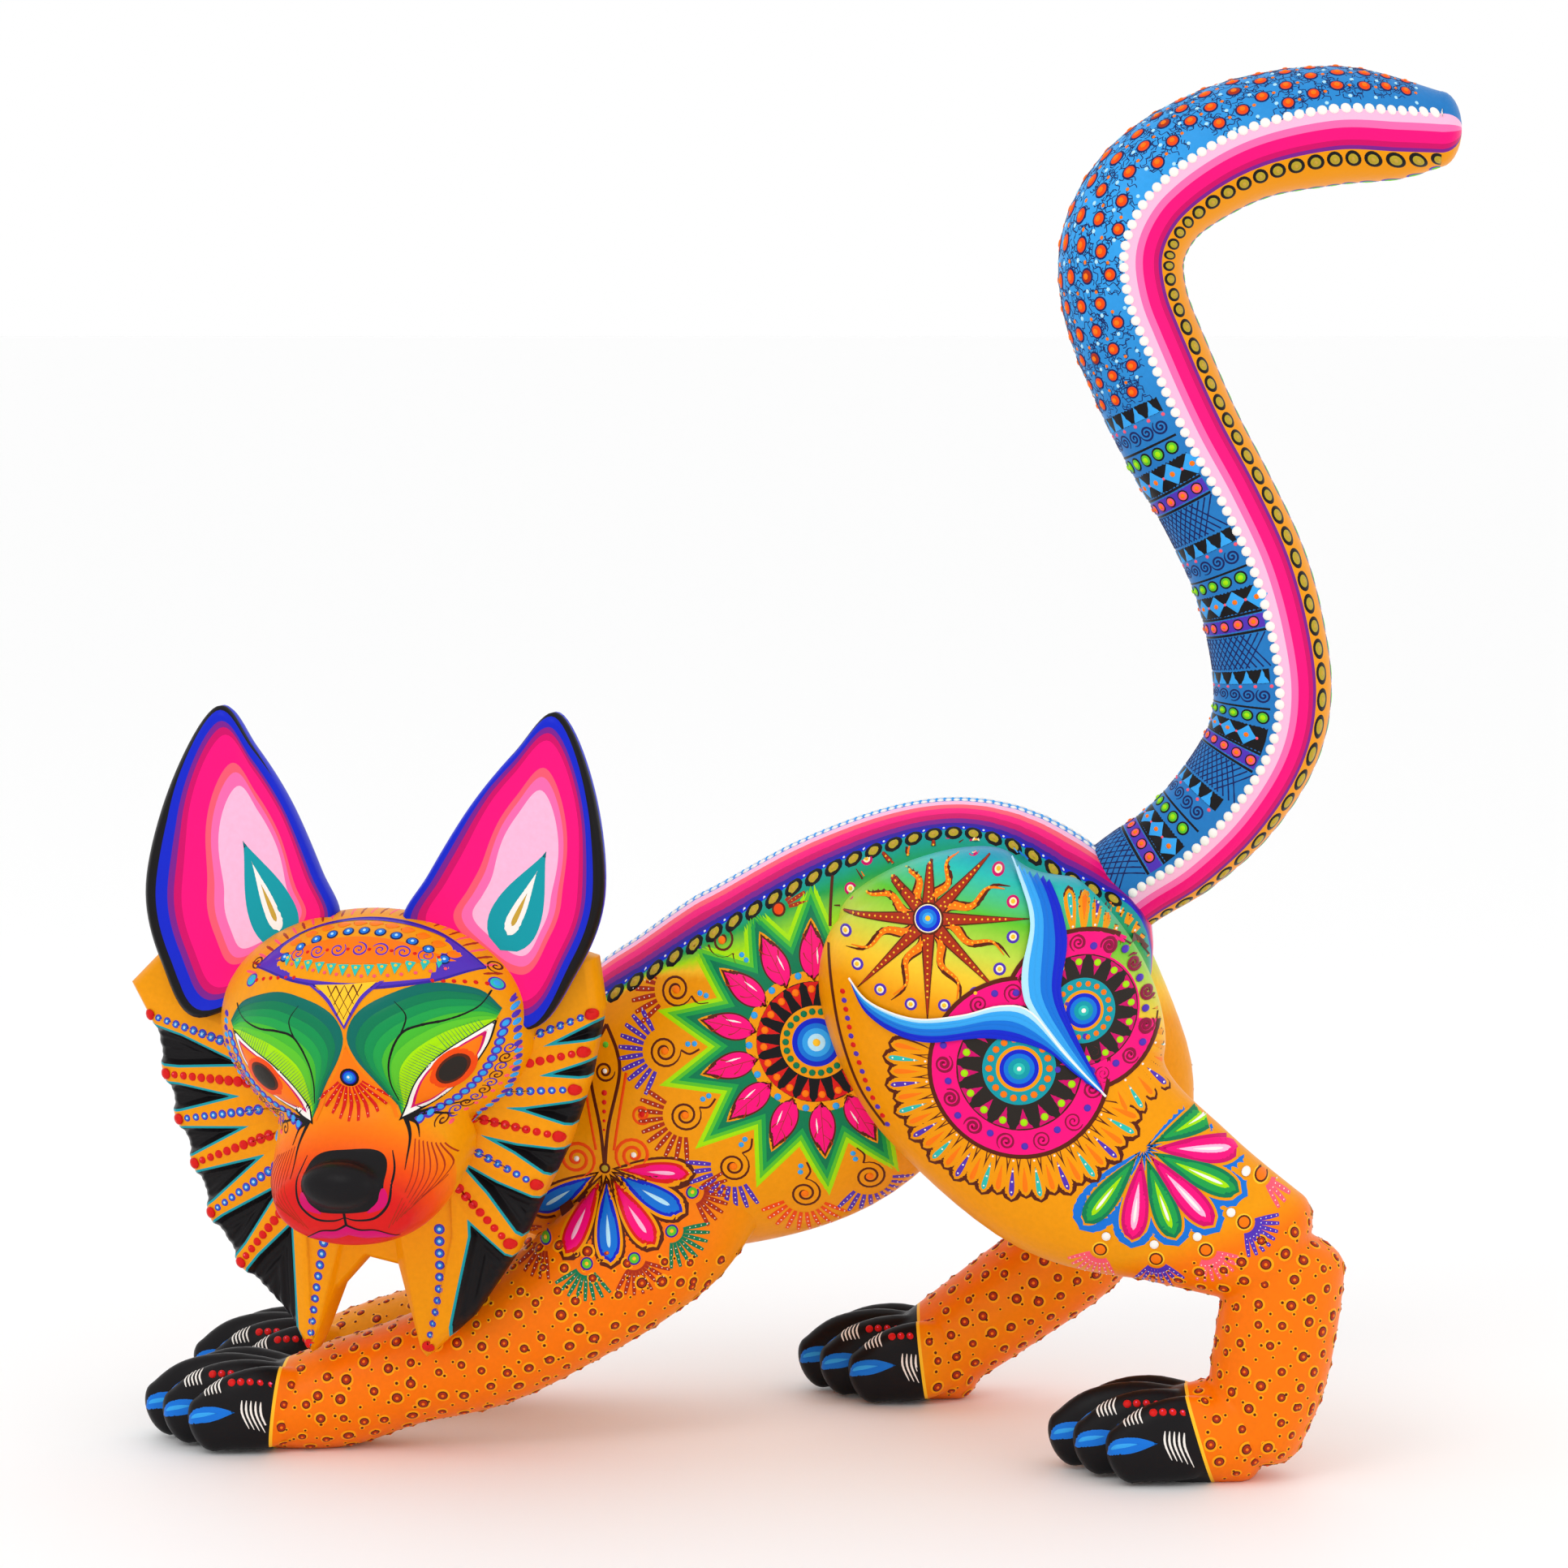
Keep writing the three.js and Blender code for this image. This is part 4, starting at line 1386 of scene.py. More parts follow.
def paint_shoulder(paint):
    """A palmette of drops on the shoulder, with spirals above and combs below."""
    node = np.array([-52.5, 80.7])
    for k, degrees in enumerate((-3, -28, -54, -84, -114, -146)):
        angle = math.radians(degrees)
        way = heading(angle)
        long = 25 if k else 24
        name, deep, light = (("hot_pink", "red", "pale_pink"), ("azure", "royal", "ice"))[k % 2]
        paint.drop("brown", node + way * 2, node + way * (long + 1.9), 9.8, 1)
        paint.drop("marigold", node + way * 3, node + way * (long + 0.9), 8.0, 2)
        paint.drop(deep, node + way * 4, node + way * long, 6.4, 3)
        paint.drop(name, node + way * 6, node + way * (long - 1), 4.9, 4)
        paint.drop(light, node + way * 12, node + way * (long - 4), 1.5, 5)
    tips = [math.radians(d) for d in (-15, -41, -69, -99, -130)]
    for k, angle in enumerate(tips):
        spot = node + 25.5 * heading(angle)
        way = unit(spot - node)
        paint.target(spot, [(2.2, "orange"), (1.9, "indigo"), (1.4, "leaf")], 2)
        paint.dot("yellow", spot, 0.6, 5)
        hairs = ("brick", "forest")[k % 2]
        bearing = math.atan2(way[1], way[0])
        paint.comb(hairs, spot, 3.2, 10.4, bearing - 0.85, bearing + 0.85, 8, 0.6, 1, "white")
    for side, centre in ((-1, (-60.5, 83.2)), (1, (-44.2, 84.8))):
        paint.spiral("deep_orange", centre, 5.6, 2.5, 0.5, 1, start=math.pi / 2, way=side)
        paint.dot("white", centre, 0.85, 1)
        lift = np.array([centre[0] + side * 1.5, 92.0])
        bend, end = (node[0] + side * 4.6, 98), (node[0] + side * 6.2, 108)
        sweep = curve((centre[0] - side * 5.6, 86), bend, end, steps=6)
        paint.stroke("deep_orange", sweep, 0.42, 1)
        paint.spiral("deep_orange", lift + [side * 1.0, 4.6], 3.0, 1.8, 0.4, 1, start=0.4, way=side)
        paint.dot("red", lift + [side * 1.0, 4.6], 0.9, 1)
    for side in (-1, 1):
        bulge = [node + [side * across, up] for across, up in ((1.2, 12), (4.2, 26), (3.4, 33))]
        edge = curve(node, *bulge, node + [0, 40])
        paint.stroke("brown", edge, 0.5, 1)
    paint.spiral("brown", node + [0, 27.5], 3.0, 2.0, 0.34, 1)
    paint.dot("white", node + [0, 27.5], 0.7, 1)
    paint.dot("leaf", node + [0, 34.6], 0.9, 1)
    for k in range(5):
        paint.dot("red", node + [0, 21.5 - 2.6 * k], 0.85 - 0.12 * k, 1)
    paint.target(node, [(1.6, "brown"), (1.0, "olive")], 2)


def off_spine(points):
    """Whether points are below the spine's bands."""
    return below_ridge(points) > 22.8


def paint_flank(surface, side):
    """The big flower, the curls round it and the comb over it."""
    paint = Paint(surface, from_side(side), 196, off_spine)
    paint_flower(paint)
    curls = [
        (-20.0, 144.6, "violet"),
        (-32.6, 131.0, "brick"),
        (-35.4, 114.4, "violet"),
        (-29.5, 96.6, "brick"),
        (-16.2, 81.8, "violet"),
        (3.4, 73.0, "deep_orange"),
        (21.5, 77.5, "violet"),
    ]
    for x, z, hairs in curls:
        away = unit(np.array([x, z]) - FLOWER)
        curl(paint, (x, z), away, "brown", hairs)
    paint.comb("brick", (-4, 153.5), 3.0, 8.8, 0.3, 2.9, 10, 0.6, 1, "yellow")
    paint.target((-4, 153.5), [(2.0, "brown"), (1.5, "deep_orange")], 1)
    return paint.make(f"flank_marks_{side_name(side)}", "figure", "painted_body")


# ---------------------------------------------------------------- Haunches

SUN = np.array([39.3, 155.2])
MOONS = [(np.array([81.5, 130.4]), 0.87), (np.array([64.4, 115.1]), 1.0)]  # the ringed bosses and their sizes
LEFT_TIP, TOP_TIP, BEAK = (18.0, 138.1), (55.3, 176.2), (87.8, 107.2)


def ray(paint, name, angle, near, far, width, wave, level):
    """A ray of the sun: straight, or wavy like a flame."""
    t = np.linspace(0, 1, 16)
    way = heading(angle)
    aside = quarter_turn(way)
    bend = wave * np.sin(t * 3.2 * math.pi)
    path = SUN + way * (near + (far - near) * t)[:, None] + aside * bend[:, None]
    paint.stroke(name, path, width * (1 - t) + 0.12, level)
    return path


def paint_sun(paint):
    """The sun, its rays in two kinds and the rings between their tips."""
    for k in range(16):
        angle = k * TAU / 16 + math.pi / 2
        short = 1 - 0.22 * max(0.0, math.sin(angle)) ** 2
        if k % 2:
            ray(paint, "brown", angle, 3, 24.5 * short, 1.75, 1.3, 1)
            path = ray(paint, "orange", angle, 3, 22.8 * short, 1.3, 1.3, 2)
        else:
            ray(paint, "brown", angle, 2, 27.5 * short, 2.0, 0, 3)
            path = ray(paint, "brick", angle, 2, 25.8 * short, 1.55, 0, 4)
        for spot in path[2:13]:
            paint.dot("yellow", spot, 0.3, 5)
    paint.target(SUN, [(4.3, "brown"), (3.9, "cream"), (3.6, "royal"), (2.6, "azure"), (1.6, "sky")], 5)
    paint.dot("yellow", SUN, 0.8, 10)
    for k, (spot, way) in enumerate(around(SUN, 23.6, 16, TAU / 32)):
        spot = spot - way * 3.4 * max(0.0, way[1]) ** 2
        upper = spot[1] > SUN[1]
        paint.target(spot, [(1.75, "magenta" if upper else "violet"), (1.1, "cream")], 1)
        paint.dot("yellow", spot, 0.7, 3)


def paint_crescent(paint):
    """A layered blue crescent that ends in a beak."""
    blues = ["ice", "sky", "sky", "azure", "azure", "royal", "royal"]
    cusp = (67.4, 130.3)
    end = cusp, (77, 118.5), BEAK
    inner = curve(TOP_TIP, (62.6, 166.7), (66.8, 154.5), (64.9, 142.4), (65.1, 135.5), *end)
    outer = curve(TOP_TIP, (69.8, 167), (76.6, 151), (75.4, 136), (78.6, 126), (83.4, 115.8), BEAK)
    paint.ribbon(blues, even(inner), even(outer), 16)
    inner = curve(LEFT_TIP, (23.6, 132), (35.8, 128.1), (48.8, 129.4), (59.2, 132), *end)
    low = (22.4, 129.4), (30.6, 123.8), (40.1, 121.8), (56, 123.4), (70.5, 120.4), (80, 113)
    outer = curve(LEFT_TIP, *low, BEAK)
    paint.ribbon(blues, even(inner), even(outer), 17)
    paint.stroke("white", even(inner), 0.3, 18)


def paint_moon(paint, centre, size, level, start, end):
    """A ringed boss with a border of spirals, inside a fan of feathers."""
    for k, (_, way) in enumerate(around(centre, 1, 27 if size == 1 else 22, start, end)):
        long = (36.5 + 1.3 * (k % 2)) * size
        fill = ("orange", "sea", "orange", "violet")[k % 4]
        root = centre + way * 22 * size
        paint.drop("brown", root, centre + way * long, 5.2 * size, level, 0.82)
        paint.drop("marigold", root, centre + way * (long - 0.8), 3.8 * size, level + 1, 0.82)
        paint.drop(fill, root + way * 5.4 * size, centre + way * (long - 1.8), 1.9 * size, level + 2, 0.8)
        if fill != "orange":
            for share in (0.62, 0.7, 0.78, 0.86):
                paint.dot("white", centre + way * long * (share + 0.06), 0.32, level + 3)
    rim = 24.6 * size
    paint.disc("brown", centre, rim + 0.5, level + 3, inner=rim - 1)
    paint.disc("hot_pink", centre, rim, level + 4, inner=16 * size)
    curls = 13
    for k, (spot, _) in enumerate(around(centre, 20.6 * size, curls, 0.2)):
        paint.spiral("maroon", spot, 2.7 * size, 2.2, 0.44, level + 5, start=k)
    for k, (spot, _) in enumerate(around(centre, 20.6 * size, curls, 0.2 + math.pi / curls)):
        paint.dot("violet", spot + (0.9 if k % 2 else -0.9) * unit(spot - centre), 1.0, level + 5)
        paint.dot("white", spot + (0.9 if k % 2 else -0.9) * unit(spot - centre), 0.45, level + 8)
    paint.disc("brown", centre, 17.4 * size, level + 5)
    paint.disc("soot", centre, 16.9 * size, level + 6)
    for spot, way in around(centre, 16.6 * size, 16, 0.1):
        paint.spike("magenta", spot, spot - way * 5.6 * size, 4.8 * size, level + 7)
        paint.dot("lime", spot - way * 1.7 * size, 1.05 * size, level + 8)
    paint.target(centre, [(10.3 * size, "brown"), (10 * size, "teal")], level + 7)
    for spot, _ in around(centre, 8.2 * size, 18):
        paint.dot("orange", spot, 0.95 * size, level + 9)
    boss = [(6.5, "brown"), (6.3, "marigold"), (5.6, "royal"), (4.4, "azure"), (3.1, "teal"), (1.7, "sea")]
    paint.target(centre, [(radius * size, name) for radius, name in boss], level + 9)
    paint.dot("white", centre, 0.7, level + 15)


def paint_fan(paint):
    """A fan of drops low on the haunch."""
    apex = np.array([98.2, 93.6])
    tips = [(82.6, 72.6), (95.4, 68.2), (107.2, 69.2), (117.4, 73)]
    tips += [(124.4, 81.6), (125, 92.4), (122.4, 104.4)]
    for k, tip in enumerate(tips):
        way = unit(np.array(tip) - apex)
        long = float(np.linalg.norm(np.array(tip) - apex))
        deep, name, light = (("forest", "green", "lime"), ("magenta", "hot_pink", "pale_pink"))[k % 2]
        paint.drop("azure", apex + way, apex + way * (long + 2.6), 12.0, 1)
        paint.drop("marigold", apex + way * 2, apex + way * (long + 0.8), 8.6, 2 + 0.3 * k)
        paint.drop(deep, apex + way * 3, apex + way * long, 7.2, 5)
        paint.drop(name, apex + way * 5, apex + way * (long - 1), 5.4, 6)
        paint.drop(light, apex + way * 9, apex + way * (long - 3), 2.6, 7)
        paint.drop("white", apex + way * 13, apex + way * (long - 5), 1.0, 8)
    for k, (a, b) in enumerate(zip(tips, tips[1:])):
        middle = (np.array(a) + np.array(b)) / 2
        way = unit(middle - apex)
        reach = float(np.linalg.norm(middle - apex))
        spot = apex + way * (reach + 1.6)
        paint.dot("white", spot, 1.25, 4)
        far = spot + way * 4.4
        paint.target(far, [(2.3, "yellow"), (2.0, "brown"), (1.5, "amber")], 1)
        bearing = math.atan2(way[1], way[0])
        paint.comb(("coral", "violet")[k % 2], far, 3, 9.6, bearing - 0.8, bearing + 0.8, 8, 0.6, 1, "white")


def paint_haunch(surface, side):
    """Everything on one haunch: sun, moons, crescent, fan and the row of dots along the thigh."""
    paint = Paint(surface, from_side(side), 196, off_spine)
    paint_sun(paint)
    (rear, rear_size), (front, front_size) = MOONS
    paint_moon(paint, rear, rear_size, 0, -1.15, 1.7)
    paint_moon(paint, front, front_size, 1, -3.3, -0.4)
    paint_crescent(paint)
    paint_fan(paint)
    edge = curve((11.2, 166), (10.9, 160), (10.9, 148), (12.4, 134), (15, 120), (20, 106), (27, 96), steps=8)
    paint.stroke("brown", edge, 0.42, 2)
    for k in range(16):
        z = 134 - 2.5 * k
        x = float(np.interp(z, [94, 106, 120, 134], [29, 22.6, 18, 15.4]))
        paint.dot(("red", "violet")[k % 2], (x, z), 0.8, 1)
    return paint.make(f"haunch_marks_{side_name(side)}", "figure", "painted_leg")


# ---------------------------------------------------------------- Tail


def along_tail(spots):
    """A chart in [how far along, how far round from the upper line]; left of it is positive."""
    run, far = tail_run()
    _, side, up = directions(run, (0, 1, 0))

    def at(values):
        return np.stack([np.interp(spots[:, 0], far, values[:, i]) for i in range(3)], axis=-1)

    radius = np.interp(spots[:, 0], far, run[:, 3])
    angle = spots[:, 1] / radius
    out = unit(at(up)) * np.cos(angle)[:, None] - unit(at(side)) * np.sin(angle)[:, None]
    return at(run[:, :3]) + out * (radius + 12)[:, None], -out


def tail_radius(s):
    """How thick the tail is at a length along it."""
    run, far = tail_run()
    return float(np.interp(s, far, run[:, 3]))


def split_mm(s):
    """How far round the tail the row of white dots is, in mm."""
    return float(split(s / TAIL_LENGTH)) * tail_radius(s)


def band_of_rings(paint, s):
    """One cycle of the tail's banded pattern, starting at s."""
    reach = split_mm(s) - 1.6
    half = np.linspace(-reach, reach, 40)

    def line(name, at, width, level=1):
        paint.stroke(name, np.stack([np.full(40, at), half], axis=-1), width, level)

    count = int(reach / 2)
    for k in range(-count, count + 1):
        q = k * 2.0
        a, b = (s + 0.6, q - 3.6), (s + 10.4, q + 3.6)
        for foot, tip in ((a, b), ((a[0], b[1]), (b[0], a[1]))):
            if max(abs(foot[1]), abs(tip[1])) < reach + 0.8:
                paint.stroke("navy", curve(foot, tip, steps=4), 0.24, 1)
    line("black", s + 11, 0.4)
    line("violet", s + 13.7, 2.1)
    line("black", s + 16.4, 0.4)
    line("black", s + 20.4, 3.7)
    line("black", s + 29.6, 0.35)
    line("black", s + 39.2, 2.2)
    for k in range(-int(reach / 4.6), int(reach / 4.6) + 1):
        q = k * 4.6
        paint.target((s + 13.7, q), [(1.7, "black"), (1.35, "coral")], 2)
        paint.dot("orange", (s + 13.7, q), 0.8, 4)
        paint.target((s + 26.9, q), [(1.95, "black"), (1.5, "leaf")], 1)
        paint.dot("lime", (s + 26.9, q), 0.9, 3)
        paint.spiral("navy", (s + 33.4, q), 2.3, 2.1, 0.3, 1, start=k)
        paint.spike("sky", (s + 37.2, q), (s + 41.2, q), 3.6, 2)
        paint.dot("coral", (s + 36.2, q + 2.3), 0.55, 1)
    for k in range(-int(reach / 6.4), int(reach / 6.4) + 1):
        q = k * 6.4
        paint.disc("sky", (s + 20.4, q), 3.3, 2, sides=4)
        paint.dot("orange", (s + 20.4, q), 0.85, 3)
        if abs(q + 3.2) < reach:
            paint.dot("coral", (s + 20.4, q + 3.2), 0.5, 2)


def paint_tail(surface):
    """The tail's banded lower part and its dotted upper part."""
    paint = Paint(surface, along_tail, 40)
    cycle, banded = 41.4, 0.58 * TAIL_LENGTH
    for k in range(int(banded / cycle)):
        band_of_rings(paint, 8 + cycle * k)
    row, s = 0, 8 + cycle * int(banded / cycle) + 4
    while s < TAIL_LENGTH - 6:
        reach = split_mm(s) - 3.4
        shift = 3.3 if row % 2 else 0
        for q in np.arange(-reach + shift, reach, 6.6):
            spot = (s + rng.uniform(-0.5, 0.5), q + rng.uniform(-0.5, 0.5))
            if row % 3 == 2 and rng.random() < 0.3:
                paint.target(spot, [(1.9, "navy"), (1.5, "brick")], 1)
            else:
                paint.target(spot, [(1.9, "navy"), (1.5, "deep_orange")], 1)
            paint.dot("orange", (spot[0], spot[1] - 0.3), 0.8, 3)
            paint.dot("ice", (spot[0] + 3.2, spot[1] + 3.0), 0.6, 0)
            paint.dot("orange", (spot[0] + 3.0, spot[1] - 0.6), 0.55, 0)
            for _ in range(20):
                start = np.array([spot[0] + rng.uniform(-3.2, 3.2), q + rng.uniform(-3.2, 3.2)])
                if np.linalg.norm(start - spot) < 2.2:
                    continue
                way = rng.uniform(0, TAU)
                step = heading(way)
                aside = quarter_turn(step) * 0.55
                path = curve(start, start + step + aside, start + 2 * step - aside, start + 3 * step, steps=2)
                paint.stroke("navy", path, 0.25, 0)
        s += 6.2
        row += 1
    side_lines(paint)
    return paint.make("tail_marks", "tail", "painted_tail")


def side_lines(paint):
    """The white dots, olive rings and belly dots that run along the tail."""
    for s in np.arange(3, TAIL_LENGTH + 3, 3.1):
        for side in (-1, 1):
            place = (s, side * (split_mm(s) - 0.2))
            paint.dot("white", place, 1.4, 0, 0.5)
            paint.dot("gold", place, 0.4, 6)
    for s in np.arange(5, TAIL_LENGTH, 5.9):
        for side in (-1, 1):
            q = side * (split_mm(s) + 14.4)
            paint.target((s, q), [(2.75, "black"), (1.7, "olive")], 0)
            paint.dot("gold", (s, q), 0.7, 2)
        belly = tail_radius(s) * math.pi
        if belly - split_mm(s) - 17.4 > 3:
            paint.target((s, belly), [(3.0, "violet"), (2.2, "leaf"), (1.2, "lime")], 0)


# ---------------------------------------------------------------- Face


def rolled(chart):
    """A chart turned by the face's own tilt."""

    def chart_rolled(spots):
        c, s = math.cos(ROLL), math.sin(ROLL)
        return chart(spots @ np.array([[c, s], [-s, c]]))

    return chart_rolled


def mirrored(path, side):
    """A path of the side 1 put on the other side, or left as it is."""
    return np.asarray(path, float) * [side, 1]


def even(path, count=48):
    """A path with its spots spaced evenly."""
    far = distances(path)
    share = np.linspace(0, far[-1], count)
    return np.stack([np.interp(share, far, path[:, i]) for i in range(2)], axis=-1)


LID = [(37.0, 14.5), (31, 12.6), (23.5, 9.2), (18, 4.2), (15, -0.8), (12.8, -6.2)]
UNDER = [(37.0, 14.5), (35, 9), (30, 2.8), (24, -2), (18.5, -4.8), (12.8, -6.2)]
MASK = [
    (38.5, 17), (33, 23.5), (21, 28), (11, 27), (3.6, 23.6),
    (0.5, 18), (2.2, 12), (7, 4.5), (11, -2.5), (12.8, -6.2),
]
BROW = [(36, 22), (33.4, 19.4), (27, 18.2), (20, 18.4), (15, 17), (11.6, 11), (10.8, 4.5), (12, -2)]


def paint_eye(paint, side):
    """One eye with its lids and iris, and the fine lines round it."""
    greens = ["pine", "forest", "jade", "green", "fern", "leaf", "lime", "lime"]
    lid, under = curve(*mirrored(LID, side)), curve(*mirrored(UNDER, side))
    paint.ribbon(greens, even(curve(*mirrored(MASK, side))), even(lid), 1)
    lashes = even(lid, 44)
    for k in range(3, 42):
        way = unit(np.array([-0.55 * side, 1.0]) if k < 16 else np.array([-0.95 * side, 0.75]))
        root = lashes[k]
        long = 2.4 + 2.6 * math.sin(math.pi * k / 44)
        paint.stroke("pine", curve(root, root + way * long, steps=3), [0.17, 0.14, 0.1, 0.04], 2)
    middle = np.array([25.2 * side, 4.2])
    upper, lower = even(lid), even(under)
    almonds = [(1.06, "black"), (1.0, "white"), (0.86, "magenta"), (0.78, "orange")]
    for level, (scale, name) in enumerate(almonds):
        paint.ribbon([name], middle + (upper - middle) * scale, middle + (lower - middle) * scale, 2 + level)
    axis = unit(np.array([24.0 * side, 19.0]))
    across = quarter_turn(axis)
    iris = circle(28) @ np.array([axis * 5.4, across * 3.9])
    shares = np.array([0, 0.4, 0.8, 1])[None, :, None]
    for level, (scale, name) in enumerate([(1.25, "deep_orange"), (0.96, "brown"), (0.8, "soot")]):
        spots = middle + [1.2 * side, 0.6] + iris[:, None] * shares * scale
        paint.sheet(name, spots, [LAYER, LAYER, LAYER, -DIP], 6 + level, wrap=True, hub=True)
    brow = curve(*mirrored(BROW, side))
    paint.stroke("black", brow, 0.2 + 0.42 * np.sin(np.linspace(0.1, 3.0, len(brow))), 2)
    branch = curve(*mirrored([(13.4, 25.4), (16.4, 21.4), (15, 17)], side))
    paint.stroke("black", branch, np.linspace(0.1, 0.5, len(branch)), 2)
    for tip in ((17.5, -11.5), (15.5, -17), (24, -9.5), (29.5, -7.5)):
        bend = ((13.6 + tip[0]) / 2 + 0.8, (tip[1] - 6.4) / 2 + 0.8)
        path = curve(*mirrored([(13.6, -6.4), bend, tip], side))
        paint.stroke("black", path, np.linspace(0.55, 0.06, len(path)), 2)


def paint_temple(paint, side):
    """Rows of small dots below the eye and a rope of violet beads at the side of the head."""
    row = even(curve(*mirrored([(17, -7.4), (25, -5), (31.5, -0.4), (36.5, 6), (39.2, 13)], side)), 15)
    for k, spot in enumerate(row):
        paint.target(spot, [(1.25, "violet"), (0.8, "sky")], 1)
    row = even(curve(*mirrored([(22, -9.6), (29.5, -6.2), (35.5, -1.2), (39.6, 6)], side)), 10)
    for k, spot in enumerate(row):
        paint.spiral(("brown", "violet")[k % 2], spot, 1.7, 1.6, 0.2, 1, start=k)
        paint.dot("coral", spot + np.array([1.7 * side, -1.4]), 0.55, 1)
    row = even(curve(*mirrored([(27, -14), (35, -8.5), (40, 0), (41.4, 10), (40.6, 18)], side)), 20)
    for k, spot in enumerate(row):
        paint.dot(("sky", "violet")[k % 2], spot, 0.85, 1)


def paint_snout(paint):
    """The marks on the bridge of the nose and round the mouth, with a painted highlight on the blue boss."""
    bridge = curve((0, 15.2), (3.6, 8), (8.4, 1.4), (12.6, -6), steps=6)
    left = bridge * [-1, 1]
    paint.ribbon(["orange"], bridge, left, 0.4)
    paint.comb("red", (0, 7.6), 4.2, 13.4, math.radians(-142), math.radians(-38), 10, 0.52, 1.2, "cream")
    paint.target((0, 6.3), [(2.7, "black"), (2.1, "royal"), (1.7, "azure"), (1.0, "sky")], 2)
    # the small white spot up and to the left on the blue boss is a painted highlight
    paint.dot("white", (-0.2, 6.5), 0.45, 6)
    for side in (-1, 1):
        nostril = curve(*mirrored([(11.2, -19.2), (10.8, -23.0), (6.6, -25.4)], side), steps=6)
        paint.stroke("magenta", nostril, [0.3, 0.6, 0.9, 1.1, 1.2, 1.3, 1.3, 1.2, 1.0, 0.8, 0.6, 0.4, 0.2], 1)
        corners = [(11.8, -12.4), (13.2, -17), (12.6, -23), (8.6, -27), (3.4, -27.6), (0, -26.6)]
        wing = curve(*mirrored(corners, side))
        paint.stroke("black", wing, 0.08 + 0.3 * np.sin(np.linspace(0.1, 3.0, len(wing))), 1)
        lip = curve(*mirrored([(0, -29.0), (3.4, -30.6), (8, -31.0), (13, -33.8)], side))
        low = curve(*mirrored([(0, -32.2), (4, -33.4), (8.4, -33.6), (13, -34.2)], side))
        paint.ribbon(["magenta"], lip, low, 1)
        paint.stroke("black", lip, np.linspace(0.42, 0.12, len(lip)), 2)
        for k in range(8):
            start = np.array([16.6 + 0.9 * k, -11.5 - 0.5 * k])
            end = np.array([11.4 + 1.2 * k, -30.5 + 0.9 * k])
            bulge = np.array([17.0 + 1.25 * k, -20.0 - 0.2 * k])
            hair = curve(*mirrored([start, bulge, end], side), steps=8)
            paint.stroke("brick", hair, 0.13, 1)
    paint.stroke("black", curve((0, -25.4), (0, -29), steps=4), 0.4, 1)


def paint_cap(surface):
    """The painted cap on top of the head, drawn looking down at the brow."""
    paint = Paint(surface, rolled(facing(HEAD_TURN @ turned(-45, "x"))), 250)
    upper = even(curve((-31, 14), (-17, 23.6), (1, 27.4), (19, 23.6), (33, 14)))
    lower = even(curve((-31, 14), (-17, 5.6), (1, 2.2), (19, 5.6), (33, 14)))
    paint.ribbon(["violet"], upper, lower, 1)
    paint.ribbon(["amber"], even(curve((-24, 13.8), (-11, 17.4), (1, 18.6), (13, 17.4), (26, 13.8))),
                 even(curve((-24, 13.8), (-11, 10.4), (1, 9.4), (13, 10.4), (26, 13.8))), 2)
    for k in range(11):
        x = 4.4 * (k - 5) + 1
        arch = 0.0145 * (x - 1) ** 2
        paint.target((x, 20.8 - arch), [(1.6, "navy"), (1.25, "azure")], 2)
        paint.dot("ice", (x, 20.8 - arch), 0.5, 4)
        high = (x + 2.2, 24.4 - 0.0145 * (x + 1.2) ** 2)
        paint.leaf("orange", (high[0] - 1.9, high[1]), (high[0] + 1.9, high[1]), 2.6, 2)
    for k in range(7):
        x = 5.9 * (k - 3) + 1
        paint.spiral("violet", (x, 14), 2.4, 1.8, 0.28, 3, start=k)
        paint.dot("red", (x + 2.9, 14), 0.6, 3)
    for k in range(13):
        x = 3.5 * (k - 6) + 1
        z = 9.0 + 0.0115 * (x - 1) ** 2
        paint.spike("sea", (x, z), (x, z - 3.4), 2.9, 3)
        paint.dot("yellow", (x, z - 0.8), 0.5, 4)
        paint.dot("coral", (x + 1.75, z - 3.2), 0.5, 3)
    for edge, name in ((upper, "indigo"), (lower, "indigo")):
        paint.stroke(name, edge, 0.35, 2)
    for k in range(30):
        angle = math.radians(28 + 124 * k / 29)
        root = np.array([1 + 36 * math.cos(angle), -4 + 33.5 * math.sin(angle)])
        tip = root + 4.4 * heading(angle)
        paint.stroke(("brick", "coral")[k % 2], curve(root, tip, steps=3), [0.2, 0.42, 0.5, 0.25], 1)
    for side in (-1, 1):
        for k in range(6):
            paint.dot("red", (side * (19 + 2.6 * k) + 2, 6.6 + 0.5 * k), 0.62, 1)
        paint.target((side * 34 + 2, 10), [(2.0, "violet"), (1.6, "sea"), (0.9, "sky")], 1)
        paint.spiral("brown", (side * 33 + 2, 15.6), 2.2, 1.8, 0.26, 1)
    return paint.make("cap_marks", "figure", "painted_head")


def paint_lattice(paint):
    """The little net of lines that hangs from the cap between the brows."""
    tip = np.array([0, 20.6])
    wide = [even(curve(*mirrored([(10.6, 30.4), (5, 26.6), (0, 19.6)], side)), 20) for side in (-1, 1)]
    narrow = [even(curve(*mirrored([(8.6, 30.4), (4.2, 27), tip], side)), 20) for side in (-1, 1)]
    paint.ribbon(["violet"], *wide, 4)
    paint.ribbon(["yellow"], *narrow, 5)
    for k in range(-3, 4):
        for slope in (-1, 1):
            root = np.array([k * 2.4, 30.2])
            path = [root + np.array([slope * 0.62, -1.0]) * t for t in np.linspace(0, 8, 10)]
            path = [p for p in path if abs(p[0]) < 0.52 * (p[1] - tip[1]) + 0.8 and p[1] > tip[1]]
            if len(path) > 3:
                paint.stroke("brown", path, 0.16, 6)


